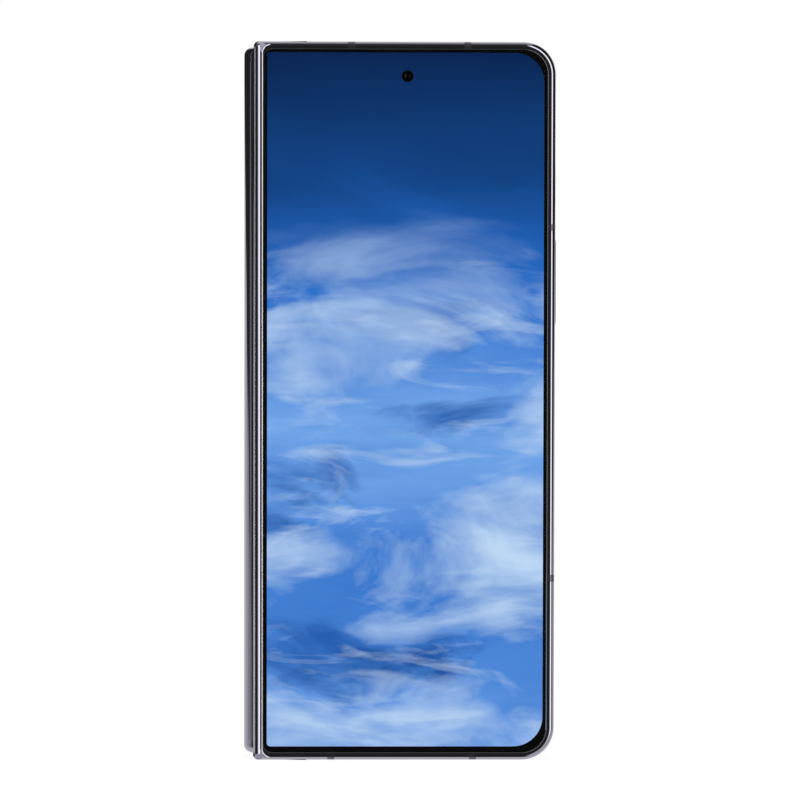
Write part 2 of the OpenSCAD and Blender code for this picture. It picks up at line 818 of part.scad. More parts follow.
module rear_gear_arms() {
  color("#8a8d94") both_ends() gear_arm(-90 + 180 / gear_teeth);
}

// Rail that turns about a hinge axis inside a bracket, with its foot on the hinge wall
rail_r0 = 2.2;
rail_start = 33;
rail_r1 = cavity_r - run_fit;
rail_sink = 0.2;
bracket_cheek = 1.8;
rail_len = bracket_len - 2 * (bracket_cheek + gap);
module rotator(z) {
  difference() {
    union() {
      translate([axis_x, axis_y, z - rail_len / 2]) linear_extrude(rail_len) intersection() {
        difference() {
          circle(rail_r1, $fn = 96);
          circle(rail_r0, $fn = 96);
        }
        polygon([[0, 0], for (k = [0:2]) 2 * spine_r * [cos(rail_start + k * rail_angle / 2),
          sin(rail_start + k * rail_angle / 2)]]);
      }
      box([axis_x + rail_r0 - rail_sink, foot_y + gap, z - rail_len / 2],
        [riser_x - gap, hinge_wall_y, z + rail_len / 2]);
    }
    for (s = [-1, 1]) post_y(arm_screw_x, z + s * rotator_screw_dz, screw_r, 0, face_out);
  }
}

module front_rotators() {
  color("#9a9da5") front() for (z = bracket_zs) rotator(z);
}

module rear_rotators() {
  color("#9a9da5") for (z = bracket_zs) rotator(z);
}

// Screws into the hinge wall and into the board bosses
module hinge_screws_half() {
  for (p = screw_places) union() {
    post_y(p[0], p[1], screw_r, foot_y, hinge_wall_y + hinge_screw_len);
    post_y(p[0], p[1], head_r, foot_y - head_t, foot_y);
  }
}

module rear_screws() {
  color("#c9ccd2") {
    hinge_screws_half();
    for (p = rear_bosses) board_screw(p);
  }
}

module board_screw(p) {
  union() {
    post_y(p[0], p[1], screw_r, plate_y + board_screw_tip, p[2] + board_t);
    post_y(p[0], p[1], head_r, p[2] + board_t, p[2] + board_t + head_t);
  }
}

module front_screws() {
  color("#c9ccd2") front() {
    hinge_screws_half();
    for (p = front_bosses) board_screw(p);
  }
}

// Outline of the spine in X and Y: two rounds joined by a flat crown
module spine_round(r) {
  for (s = [-1, 1]) translate([axis_x, s * axis_y]) circle(r, $fn = 96);
  translate([axis_x - r, -axis_y]) square([r + r, 2 * axis_y]);
}

spine_lip = 0.5;
notch_lip = 1.8;
spine_open_x = axis_x - spine_lip;
notch_x = axis_x - notch_lip;
spine_z0 = fold_z0;
spine_skin = 0.3;
module hinge_spine() {
  color("#2c2a32") difference() {
    translate([0, 0, spine_z0]) linear_extrude(height - 2 * spine_z0) difference() {
      spine_round(spine_r);
      spine_round(cavity_r);
      translate([spine_open_x, -2 * spine_r]) square([3 * spine_r, 4 * spine_r]);
    }
    // notches through which the rotators' arms swing
    for (z = bracket_zs)
      box([notch_x, -2 * spine_r, z - bracket_len / 2], [axis_x + over, 2 * spine_r, z + bracket_len / 2]);
    for (z = bracket_zs) for (dz = cheek_dz) post_x(spine_x + spine_skin, axis_x, 0, z + dz, screw_r);
  }
}

// Quarter profile of an end cap: radius, height above the bottom edge
module cap_profile(z1) {
  polygon(concat(
    [[0, spine_inset]],
    arc_points(spine_r - spine_end_r, spine_inset + spine_end_r, spine_end_r, -90, 0, 8),
    [[spine_r, z1], [0, z1]]
  ));
}

pin_z0 = spine_inset + spine_skin;
module cap_solid(z1) {
  for (s = [-1, 1]) translate([axis_x, s * axis_y, 0]) rotate_extrude($fn = 96) cap_profile(z1);
  translate([axis_x, axis_y, 0]) rotate([90, 0, 0]) linear_extrude(2 * axis_y) union() {
    cap_profile(z1);
    mirror([1, 0]) cap_profile(z1);
  }
}

module end_cap() {
  difference() {
    cap_solid(spine_z0);
    translate([axis_x + lip_x, -2 * spine_r, 0]) cube([3 * spine_r, 4 * spine_r, height / 2]);
    translate([0, 0, gear_z - gap]) linear_extrude(inner_plate_z - gear_z + gap) union() {
      spine_round(cavity_r);
      translate([axis_x - arm_low - 2 * gap, -2 * spine_r]) square([2 * spine_r, 4 * spine_r]);
    }
    for (s = [-1, 1]) translate([axis_x, s * axis_y, pin_z0]) cylinder(h = spine_z0, r = pin_r);
  }
}

module spine_end_caps() {
  color("#2c2a32") both_ends() end_cap();
}

module hinge_pins() {
  color("#c9ccd2") both_ends() for (s = [-1, 1])
    translate([axis_x, s * axis_y, pin_z0]) cylinder(h = spine_z0 - pin_z0, r = pin_r);
}

// Spring washers that give the hinge its hold
washer_r = 1.25;
module spring_washers() {
  color("#a7aab1") both_ends() for (s = [-1, 1])
    translate([axis_x, s * axis_y, gear_z + gear_t + gap / 2]) difference() {
      cylinder(h = washer_t, r = washer_r);
      translate([0, 0, -over]) cylinder(h = washer_t + 2 * over, r = pin_r + run_fit);
    }
}

// Bracket: two cheeks that fill the spine's cavity and a core on which the rails turn
core_r = rail_r0 - run_fit;
core_link = 1.5;
cheek_dz = [for (s = [-1, 1]) s * (bracket_len - bracket_cheek) / 2];
module bracket(z) {
  difference() {
    union() {
      for (dz = cheek_dz) translate([0, 0, z + dz - bracket_cheek / 2])
        linear_extrude(bracket_cheek) spine_round(cavity_r);
      translate([0, 0, z - bracket_len / 2]) linear_extrude(bracket_len) union() {
        for (s = [-1, 1]) translate([axis_x, s * axis_y]) circle(core_r);
        translate([axis_x - core_link, -axis_y]) square([2 * core_link, 2 * axis_y]);
      }
    }
    translate([axis_x + lip_x, -2 * spine_r, 0]) cube([3 * spine_r, 4 * spine_r, height]);
    for (dz = cheek_dz) post_x(spine_x, axis_x + over, 0, z + dz, screw_r);
    for (dz = cheek_dz) post_x(axis_x - head_t, axis_x + over, 0, z + dz, head_r + run_fit);
  }
}

module hinge_brackets() {
  color("#777a82") for (z = bracket_zs) bracket(z);
}

module bracket_screws() {
  color("#c9ccd2") for (z = bracket_zs) for (dz = cheek_dz) union() {
    post_x(spine_x + spine_skin, axis_x - head_t, 0, z + dz, screw_r);
    post_x(axis_x - head_t, axis_x, 0, z + dz, head_r);
  }
}

// Folded shape of a layer whose face is level steps from the hinge axis when the phone is open.
// Between the flat stretch and the crown the layer turns from a quarter turn to none, eased at both ends.
face_level = axis_y - flex_y;
ease_end = face_level * cos(bend_tilt);
ease_start = bend_run * cos(bend_tilt) + flex_y * sin(bend_tilt);
function bend_turn(reach) =
  let (t = min(1, max(0, (ease_start - reach) / (ease_start - ease_end)))) 90 * (1 - t * t * (3 - 2 * t));
function bend_point(level, k) =
  let (
    crown = level * cos(bend_tilt),
    last = bend_run * cos(bend_tilt) + (axis_y - level) * sin(bend_tilt),
    reach = crown + (last - crown) * k,
    turn = bend_turn(reach),
    along = reach - axis_y * sin(bend_tilt),
    spread = sin(turn + bend_tilt)
  ) [
    axis_x + (along * sin(turn) + level * sin(bend_tilt)) / spread,
    (level * cos(bend_tilt) - along * cos(turn)) / spread - axis_y
  ];
function bend_side(level) = [for (i = [bend_steps:-1:1]) bend_point(level, i / bend_steps)];
// The whole bend, from the front half's flat stretch round to the rear half's
function bend_curve(level) = concat(
  bend_side(level),
  [[axis_x + level, 0]],
  [for (p = [for (i = [1:bend_steps]) bend_point(level, i / bend_steps)]) [p[0], -p[1]]]
);
function flipped(list) = [for (i = [len(list) - 1:-1:0]) list[i]];

module bent_layer(level_out, level_in, z0, z1) {
  translate([0, 0, z0]) linear_extrude(z1 - z0)
    polygon(concat(bend_curve(level_out), flipped(bend_curve(level_in))));
}

module display_fold() {
  color("#08090d") bent_layer(face_level, face_level - flex_t, fold_z0, fold_z1);
}

layer_gap = 0.02;
module fold_lattice() {
  outer = face_level - flex_t - layer_gap;
  inner = face_level - flex_t - backing_t;
  color("#7d8087") bent_layer(outer, inner, fold_z0, fold_z1);
}

// Flexible cable under the lattice, with a flat tail into each half
flex_cable_t = 0.12;
flex_level = face_level - flex_t - backing_t - 3 * layer_gap;
cable_tail = 2;
module hinge_flex() {
  outer = bend_curve(flex_level);
  inner = bend_curve(flex_level - flex_cable_t);
  tail = room_x + cable_tail;
  tail_in = tail - flex_cable_t;
  color("#b98a3a") translate([0, 0, cable_z - cable_w / 2]) linear_extrude(cable_w) polygon(concat(
    [[tail, -board_y], [tail, outer[0][1]]],
    outer,
    [[tail, -outer[0][1]], [tail, board_y], [tail_in, board_y], [tail_in, -inner[0][1]]],
    flipped(inner),
    [[tail_in, inner[0][1]], [tail_in, -board_y]]
  ));
}

// ---------- front half ----------

cover_panel_y = glass_y - cover_display_t;
eject_r = 0.4;
eject_gap = 1.6;
front_boss_up = 3.2;
front_boss_down = 5.7;
far_boss_edge = 3.5;
far_boss_down = 10;
front_bosses = [
  [room_x + boss_edge, front_battery_z1 + front_boss_up, board_y],
  [room_x + boss_edge, height - wall_t - front_boss_down, board_y],
  [room_x1 - far_boss_edge, height - wall_t - far_boss_down, board_y]
];

// Earpiece and its slit above the cover glass
slit_half_w = 5;
slit_below = 1.2;
slit_above = 0.35;
earpiece_half_w = 4.8;
earpiece_h = 2.8;
earpiece_t = 1.65;
earpiece_back = 0.75;
module front_frame() {
  color("#3a3842") front() difference() {
    frame_half(cover_panel_y, front_bosses);
    break_strips();
    tray_slot();
    translate([front_mic_x, key_y, -over]) cylinder(h = wall_t + 2 * over, r = slot_r);
    // pin hole that pushes the tray out
    post_x(free_x - wall_t - over, free_x + over, tray_mid_y, tray_mid - tray_w / 2 - eject_gap, eject_r);
    // slit above the glass for the earpiece
    box([punch_x - slit_half_w, glass_y - seat, height - rim_w - slit_below],
      [punch_x + slit_half_w, face_out + over, height - rim_w + slit_above]);
  }
}

module cover_glass() {
  color("#101018") front() glass_plate();
}

// Lit panel behind the cover glass
panel_side = 0.8;
panel_top = 0.8;
panel_bottom = 1.4;
panel_hinge_r = 0.8;
module cover_display() {
  color("#3f7fd0") front() difference() {
    slab(cover_panel_y, glass_y)
      outline(glass_x0 + panel_side, glass_x1 - panel_side, rim_w + panel_bottom, height - rim_w - panel_top,
        panel_hinge_r, glass_corner_r - panel_side);
    post_y(punch_x, height - punch_down, punch_r, 0, face_out);
  }
}

cover_cam_r = 2.6;
module cover_camera() {
  z = height - punch_down;
  color("#0c0e16") front() union() {
    post_y(punch_x, z, punch_r - gap, cover_panel_y - over, glass_y);
    post_y(punch_x, z, cover_cam_r, room_y + 2 * gap, cover_panel_y - gap);
  }
}

module earpiece() {
  y1 = cover_panel_y - earpiece_back;
  color("#15151a") front() box([punch_x - earpiece_half_w, y1 - earpiece_t, height - wall_t - earpiece_h],
    [punch_x + earpiece_half_w, y1, height - wall_t - gap]);
}

front_battery_back = 0.5;
module front_battery() {
  color("#2d2f36") front() pouch(battery_x0, battery_x1, front_battery_z0, front_battery_z1,
    room_y, cover_panel_y - front_battery_back);
}

// The front board ends below the earpiece, and its far edge stays clear of the frame's round corner
reader_wall = 0.2;
reader_slack = 1.5;
reader_len = tray_len + reader_slack;
reader_x0 = free_x - wall_t - reader_len;
reader_y = board_y + board_t;
tray_mid_y = reader_y + reader_wall + gap + tray_t / 2;
front_board_z0 = front_battery_z1 + board_gap;
front_board_z1 = height - wall_t - corner_r / 2 - 2 * gap;
front_board_x1 = room_x1 - gap - board_gap;
earpiece_room = 4;
module front_board() {
  color("#1f4a38") front() difference() {
    slab(board_y, board_y + board_t) translate([board_x0, front_board_z0])
      square([front_board_x1 - board_x0, front_board_z1 - front_board_z0]);
    post_y(punch_x, height - punch_down, cover_cam_r + gap, 0, face_out);
    slab(0, face_out) translate([punch_x - slit_half_w - 2 * gap, height - wall_t - earpiece_room])
      square([2 * slit_half_w + 4 * gap, earpiece_room + over]);
    for (p = front_bosses) post_y(p[0], p[1], screw_r, 0, face_out);
  }
}

// One can beside the hinge wall, and a wide one below the cover camera
front_can_w = 11;
front_can_len = 14;
front_can_up = 5.5;
can_camera_gap = 5.35;
module front_shields() {
  z = front_board_z0 + front_can_up;
  x1 = shield_x0 + front_can_w;
  wide_z0 = z + can_row_gap;
  wide_z1 = height - punch_down - cover_cam_r - can_camera_gap;
  color("#b9bcc2") front() {
    shield(shield_x0, x1, z, front_can_len, reader_y);
    shield(x1 + can_row_gap, reader_x0 - shield_gap, wide_z0, wide_z1 - wide_z0, reader_y);
  }
}

// Slot for the tray in the free edge, with straight sides
module tray_slot() {
  box([free_x - wall_t - over, tray_mid_y - tray_t / 2 - gap, tray_mid - tray_w / 2 - gap],
    [free_x + over, tray_mid_y + tray_t / 2 + gap, tray_mid + tray_w / 2 + gap]);
}

// Metal cage that guides the tray
cage_side = 0.4;
cage_end = 0.3;
module sim_reader() {
  x1 = free_x - wall_t - gap;
  half = tray_w / 2 + gap;
  y1 = tray_mid_y + tray_t / 2 + gap;
  color("#b9bcc2") front() difference() {
    box([reader_x0, reader_y, tray_mid - half - cage_side],
      [x1, y1 + reader_wall, tray_mid + half + cage_side]);
    box([reader_x0 + cage_end, reader_y + reader_wall, tray_mid - half], [x1 + over, y1, tray_mid + half]);
  }
}

// Tray with a well for the card and a window under its contacts
tray_inset = 0.05;
tray_floor = 0.3;
tray_rim = 1.6;
well_start = 1;
well_len = 12.5;
window_start = 3;
window_len = 8;
module sim_tray() {
  x0 = free_x - tray_len;
  half = tray_w / 2;
  color("#4a4852") front() difference() {
    box([x0, tray_mid_y - tray_t / 2, tray_mid - half],
      [free_x - tray_inset, tray_mid_y + tray_t / 2, tray_mid + half]);
    box([x0 + well_start, tray_mid_y - tray_t / 2 + tray_floor, tray_mid - half + tray_rim],
      [x0 + well_start + well_len, tray_mid_y + tray_t, tray_mid + half - tray_rim]);
    box([x0 + window_start, tray_mid_y - tray_t, tray_mid - half + 2 * tray_rim],
      [x0 + window_start + window_len, tray_mid_y + tray_t, tray_mid + half - 2 * tray_rim]);
  }
}

module front_bezel() {
  front() bezel_half();
}

module rear_bezel() {
  bezel_half();
}

module front_display() {
  color("#08090d") front() flat_sheet(flex_y, backing_y);
}

module front_support_plate() {
  color("#7d8087") front() flat_sheet(backing_y, plate_y);
}

module front_antenna_breaks() {
  front() breaks(cover_panel_y);
}

module rear_antenna_breaks() {
  breaks(back_y);
}

// ---------- magnets, switches and keys ----------

magnet_low_z = 30;
magnet_low_pitch = 32;
magnet_top_down = 12.9;
magnet_zs = [magnet_low_z, magnet_low_z + magnet_low_pitch, height - magnet_top_down];
magnet_l = 8;
magnet_w = 1.3;
magnet_t = 0.95;
module magnets_half() {
  color("#8e9098") for (z = magnet_zs)
    box([room_x1 - magnet_w, room_y, z - magnet_l / 2], [room_x1, room_y + magnet_t, z + magnet_l / 2]);
}

module rear_magnets() {
  magnets_half();
}

module front_magnets() {
  front() magnets_half();
}

switch_t = 0.5;
switch_r = 1;
switch_inset = 3;
strip_t = 0.15;
strip_w = 2.4;
strip_end = 1;
key_press = 0.3;
key_back_x = free_x - wall_t - gap;
switch_x1 = key_back_x - key_press - run_fit;
strip_x1 = switch_x1 - switch_t;
module key_switches() {
  color("#b98a3a") {
    for (z = concat([for (s = [-1, 1]) rocker_mid + s * (rocker_len / 2 - switch_inset)], [key_mid]))
      post_x(strip_x1, switch_x1, key_y, z, switch_r);
    box([strip_x1 - strip_t, key_y - strip_w / 2, key_mid - switch_inset],
      [strip_x1, key_y + strip_w / 2, rocker_mid + rocker_len / 2 - strip_end]);
  }
}

// The rocker rocks on a round nub at its back, which bears on the strip behind it
nub_w = 1.6;
nub_x = free_x - wall_t;
nub_r = nub_x - strip_x1 - run_fit;
module volume_rocker() {
  color("#86838f") union() {
    key_bar(key_back_x, free_x + rocker_proud, key_y, rocker_mid, key_w, rocker_len);
    post_y(nub_x, rocker_mid, nub_r, key_y - nub_w / 2, key_y + nub_w / 2);
  }
}

side_key_sink = 0.15;
module side_key() {
  color("#55525e")
    key_bar(key_back_x, free_x - side_key_sink, key_y, key_mid, side_key_w, side_key_len);
}

rear_frame();
rear_glass();
rear_antenna_breaks();
camera_island();
lens_rings();
lens_glasses();
camera_modules();
flash_window();
rear_battery();
main_board();
chip_shields();
charge_board();
usb_shell();
usb_tongue();
loudspeaker();
top_speaker();
speaker_meshes();
vibration_motor();
charging_coil();
inner_camera();
rear_bezel();
rear_display();
rear_support_plate();
rear_gear_arms();
rear_rotators();
rear_screws();
rear_magnets();
key_switches();
volume_rocker();
side_key();
hinge_spine();
spine_end_caps();
hinge_pins();
spring_washers();
hinge_brackets();
bracket_screws();
display_fold();
fold_lattice();
hinge_flex();
front_frame();
front_antenna_breaks();
cover_glass();
cover_display();
cover_camera();
earpiece();
front_battery();
front_board();
front_shields();
front_bezel();
front_display();
front_support_plate();
front_gear_arms();
front_rotators();
front_screws();
front_magnets();
sim_reader();
sim_tray();
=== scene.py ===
import json
import math

import bmesh
import bpy
from mathutils import Matrix, Vector

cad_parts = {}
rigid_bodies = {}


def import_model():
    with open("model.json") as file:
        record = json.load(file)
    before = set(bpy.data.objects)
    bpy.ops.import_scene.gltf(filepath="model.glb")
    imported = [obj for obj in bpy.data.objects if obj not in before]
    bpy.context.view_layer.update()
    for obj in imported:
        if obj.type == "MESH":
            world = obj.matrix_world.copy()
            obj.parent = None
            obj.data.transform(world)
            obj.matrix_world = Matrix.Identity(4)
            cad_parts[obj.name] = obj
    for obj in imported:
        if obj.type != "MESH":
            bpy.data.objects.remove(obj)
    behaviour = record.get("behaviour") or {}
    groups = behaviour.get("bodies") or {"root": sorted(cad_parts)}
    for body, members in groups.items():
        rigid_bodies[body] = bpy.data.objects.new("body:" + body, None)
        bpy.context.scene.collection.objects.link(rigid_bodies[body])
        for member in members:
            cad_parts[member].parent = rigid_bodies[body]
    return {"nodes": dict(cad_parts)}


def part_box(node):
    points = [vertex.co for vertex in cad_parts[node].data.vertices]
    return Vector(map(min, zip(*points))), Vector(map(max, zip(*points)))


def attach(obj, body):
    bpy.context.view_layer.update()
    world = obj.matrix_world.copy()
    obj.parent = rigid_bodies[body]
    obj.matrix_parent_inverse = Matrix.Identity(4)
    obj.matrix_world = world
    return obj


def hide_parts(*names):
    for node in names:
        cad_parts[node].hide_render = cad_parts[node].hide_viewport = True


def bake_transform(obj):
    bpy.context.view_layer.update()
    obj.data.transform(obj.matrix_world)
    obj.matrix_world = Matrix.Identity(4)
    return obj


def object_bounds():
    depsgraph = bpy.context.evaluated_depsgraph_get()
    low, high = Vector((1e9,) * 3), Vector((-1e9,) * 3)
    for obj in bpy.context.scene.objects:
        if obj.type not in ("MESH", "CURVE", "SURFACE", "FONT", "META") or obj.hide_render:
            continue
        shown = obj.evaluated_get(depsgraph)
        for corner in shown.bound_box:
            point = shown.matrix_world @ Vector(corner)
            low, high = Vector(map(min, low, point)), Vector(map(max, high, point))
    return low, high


MM = 0.001
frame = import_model()
cad_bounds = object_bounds()

# Sizes shared with the CAD model, read from its nodes, in metres
front_low, front_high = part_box("front_frame")
glass_low, glass_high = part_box("cover_glass")
screen_low, screen_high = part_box("cover_display")
fold_low, fold_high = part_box("display_fold")

# Hinge axes and the folded display's bend, as in the CAD model
AXIS_X = -29.75 * MM
AXIS_Y = 1.8 * MM
FLEX_Y = 0.65 * MM
BEND_RUN = 7.2 * MM
BEND_TILT = math.radians(42)
BEND_STEPS = 36


# ---------- materials ----------

# How strongly a relief bends the light, and how far grain varies a finish's roughness
RELIEF = 0.5
GRAIN_SMOOTH, GRAIN_ROUGH = 0.85, 1.2


def feed(node, inputs):
    """Fill a node's inputs, each with another node's output, a number or a colour."""
    for label, value in inputs.items():
        socket = node.inputs[label]
        if isinstance(value, bpy.types.NodeSocket):
            node.id_data.links.new(value, socket)
        else:
            socket.default_value = (*value, 1) if socket.type == "RGBA" else value
    return node


def add_node(tree, kind, inputs):
    return feed(tree.nodes.new(kind), inputs)


def empty_material(name):
    """A material whose tree holds only its output."""
    material = bpy.data.materials.new(name)
    material.use_nodes = True
    tree = material.node_tree
    tree.nodes.clear()
    return material, tree, tree.nodes.new("ShaderNodeOutputMaterial")


def new_material(name):
    """A material with one principled shader, and the tree it sits in."""
    material, tree, out = empty_material(name)
    shader = tree.nodes.new("ShaderNodeBsdfPrincipled")
    feed(out, {"Surface": shader.outputs["BSDF"]})
    return material, tree, shader


def with_input(material, label, value):
    """The same material, with one input of its shader set."""
    feed(material.node_tree.nodes["Principled BSDF"], {label: value})
    return material


def object_coords(tree, stretch=(1, 1, 1), centre=(0, 0, 0)):
    """Object coordinates, moved to a centre and stretched."""
    coords = tree.nodes.new("ShaderNodeTexCoord")
    shift = [-c * s for c, s in zip(centre, stretch)]
    mapping = add_node(
        tree, "ShaderNodeMapping", {"Vector": coords.outputs["Object"], "Location": shift, "Scale": stretch}
    )
    return mapping.outputs["Vector"]


def noise(tree, vector, scale, detail, roughness=0.5, distortion=0.0):
    """Soft random patches, from 0 to 1."""
    node = add_node(tree, "ShaderNodeTexNoise", {"Vector": vector, "Scale": scale, "Detail": detail})
    return feed(node, {"Roughness": roughness, "Distortion": distortion}).outputs["Fac"]


def spread(tree, value, low, high, start=0.0, end=1.0):
    """A value carried from start..end to low..high."""
    node = tree.nodes.new("ShaderNodeMapRange")
    feed(node, {"Value": value, "From Min": start, "From Max": end, "To Min": low, "To Max": high})
    return node.outputs["Result"]


def two_tones(tree, factor, under, over):
    """A mix of two colours, of which the one under may be another node's output."""
    node = tree.nodes.new("ShaderNodeMix")
    node.data_type = "RGBA"
    return feed(node, {0: factor, 6: under, 7: over}).outputs[2]


def height_tones(tree, value, tones):
    """A colour ramp from (place, colour) pairs, lowest first."""
    ramp = add_node(tree, "ShaderNodeValToRGB", {"Fac": value})
    stops = ramp.color_ramp.elements
    stops[0].position, stops[0].color = tones[0][0], (*tones[0][1], 1)
    stops[1].position, stops[1].color = tones[-1][0], (*tones[-1][1], 1)
    for place, tone in tones[1:-1]:
        stops.new(place).color = (*tone, 1)
    return ramp.outputs["Color"]


def reckon(tree, operation, first, second):
    """Two values multiplied, added, subtracted, or the larger or smaller of them."""
    node = tree.nodes.new("ShaderNodeMath")
    node.operation = operation
    return feed(node, {0: first, 1: second}).outputs["Value"]


def length_of(tree, vector):
    node = tree.nodes.new("ShaderNodeVectorMath")
    node.operation = "LENGTH"
    return feed(node, {0: vector}).outputs["Value"]


def finish(name, colour, rough, metal, shade, grain, patch, depth=0.0, stretch=(1, 1, 1)):
    """A worked surface: patchy tone, grained roughness, and a fine relief where depth is given."""
    material, tree, shader = new_material(name)
    vector = object_coords(tree, stretch)
    patches = noise(tree, vector, patch, 4)
    grains = noise(tree, vector, grain, 2)
    darker = [c * (1 - shade) for c in colour]
    lighter = [min(1, c * (1 + shade)) for c in colour]
    feed(shader, {
        "Base Color": two_tones(tree, patches, darker, lighter),
        "Roughness": spread(tree, grains, rough * GRAIN_SMOOTH, rough * GRAIN_ROUGH),
        "Metallic": metal,
    })
    if depth:
        relief = add_node(tree, "ShaderNodeBump", {"Height": grains, "Distance": depth, "Strength": RELIEF})
        feed(shader, {"Normal": relief.outputs["Normal"]})
    return material


def clear_glass(name, tint, rough):
    """Clear glass with faint smears."""
    material, tree, shader = new_material(name)
    smears = noise(tree, object_coords(tree), 60, 3)
    feed(shader, {
        "Base Color": two_tones(tree, smears, tint, (1, 1, 1)),
        "Roughness": spread(tree, smears, rough * 0.5, rough * 1.5),
        "Transmission Weight": 1.0,
        "IOR": 1.5,
    })
    return material


# The sky on the cover screen, by height: its tones, and how far a drift of cloud moves them up or down
SKY_TONES = (
    (0.00, (0.16, 0.37, 0.86)),
    (0.10, (0.085, 0.27, 0.74)),
    (0.25, (0.06, 0.23, 0.70)),
    (0.45, (0.20, 0.43, 0.90)),
    (0.58, (0.09, 0.28, 0.76)),
    (0.66, (0.022, 0.17, 0.62)),
    (0.73, (0.012, 0.115, 0.46)),
    (0.82, (0.005, 0.060, 0.25)),
    (0.91, (0.003, 0.040, 0.17)),
    (1.00, (0.001, 0.018, 0.085)),
)
SKY_DRIFT = ((0.3, 0, 0.1), 22, 2.6, 0.25, 0.75, 0.35)
DRIFT_RISE = 0.035
CLOUD_DETAIL, CLOUD_ROUGHNESS = 9, 0.56
# Dark streaks, haze, pale banks and wisps, each over the one before: the values of its cloud_cover, the
# height where it begins to thin out, its strength and its colour
CLOUD_BANKS = (
    (((0.52, 0, 0.14), 19, 2.6, 0.55, 0.66, 0.6), 0.60, 0.85, (0.004, 0.07, 0.33)),
    (((0.7, 0, 0.9), 16, 4.5, 0.42, 0.75, 0.2), 0.62, 0.75, (0.03, 0.17, 0.60)),
    (((0.11, 0, 0.37), 21, 2.4, 0.47, 0.70, 0.5), 0.62, 1.0, (0.55, 0.74, 0.98)),
    (((0.43, 0, 0.71), 38, 3.8, 0.52, 0.80, 0.9), 0.62, 0.7, (0.62, 0.80, 1.0)),
)
THINNING = 0.14


def cloud_cover(tree, place, size, squeeze, start, end, bend):
    """A soft bank of clouds: where a stretched noise passes from start to end."""
    vector = object_coords(tree, (1.0, 1.0, squeeze), place)
    clouds = noise(tree, vector, size, CLOUD_DETAIL, CLOUD_ROUGHNESS, bend)
    return spread(tree, clouds, 0, 1, start, end)


def sky_screen(name):
    """The lit cover screen: a made-up blue sky, dark above, with pale banks and darker streaks of cloud."""
    material, tree, shader = new_material(name)
    coords = tree.nodes.new("ShaderNodeTexCoord")
    parts = add_node(tree, "ShaderNodeSeparateXYZ", {"Vector": coords.outputs["Object"]})
    height = spread(tree, parts.outputs["Z"], 0, 1, screen_low.z, screen_high.z)
    drift = spread(tree, cloud_cover(tree, *SKY_DRIFT), -DRIFT_RISE, DRIFT_RISE)
    wavy = reckon(tree, "ADD", height, drift)
    sky = height_tones(tree, wavy, SKY_TONES)
    for bank, thinning_at, strength, tone in CLOUD_BANKS:
        clouds = cloud_cover(tree, *bank)
        low_sky = spread(tree, wavy, strength, 0, thinning_at, thinning_at + THINNING)
        sky = two_tones(tree, reckon(tree, "MULTIPLY", clouds, low_sky), sky, tone)
    feed(shader, {"Base Color": (0.0, 0.0, 0.0), "Roughness": 0.25, "Specular IOR Level": 0.0})
    feed(shader, {"Emission Color": sky, "Emission Strength": 1.0})
    return material


LAVENDER = (0.36, 0.355, 0.41)
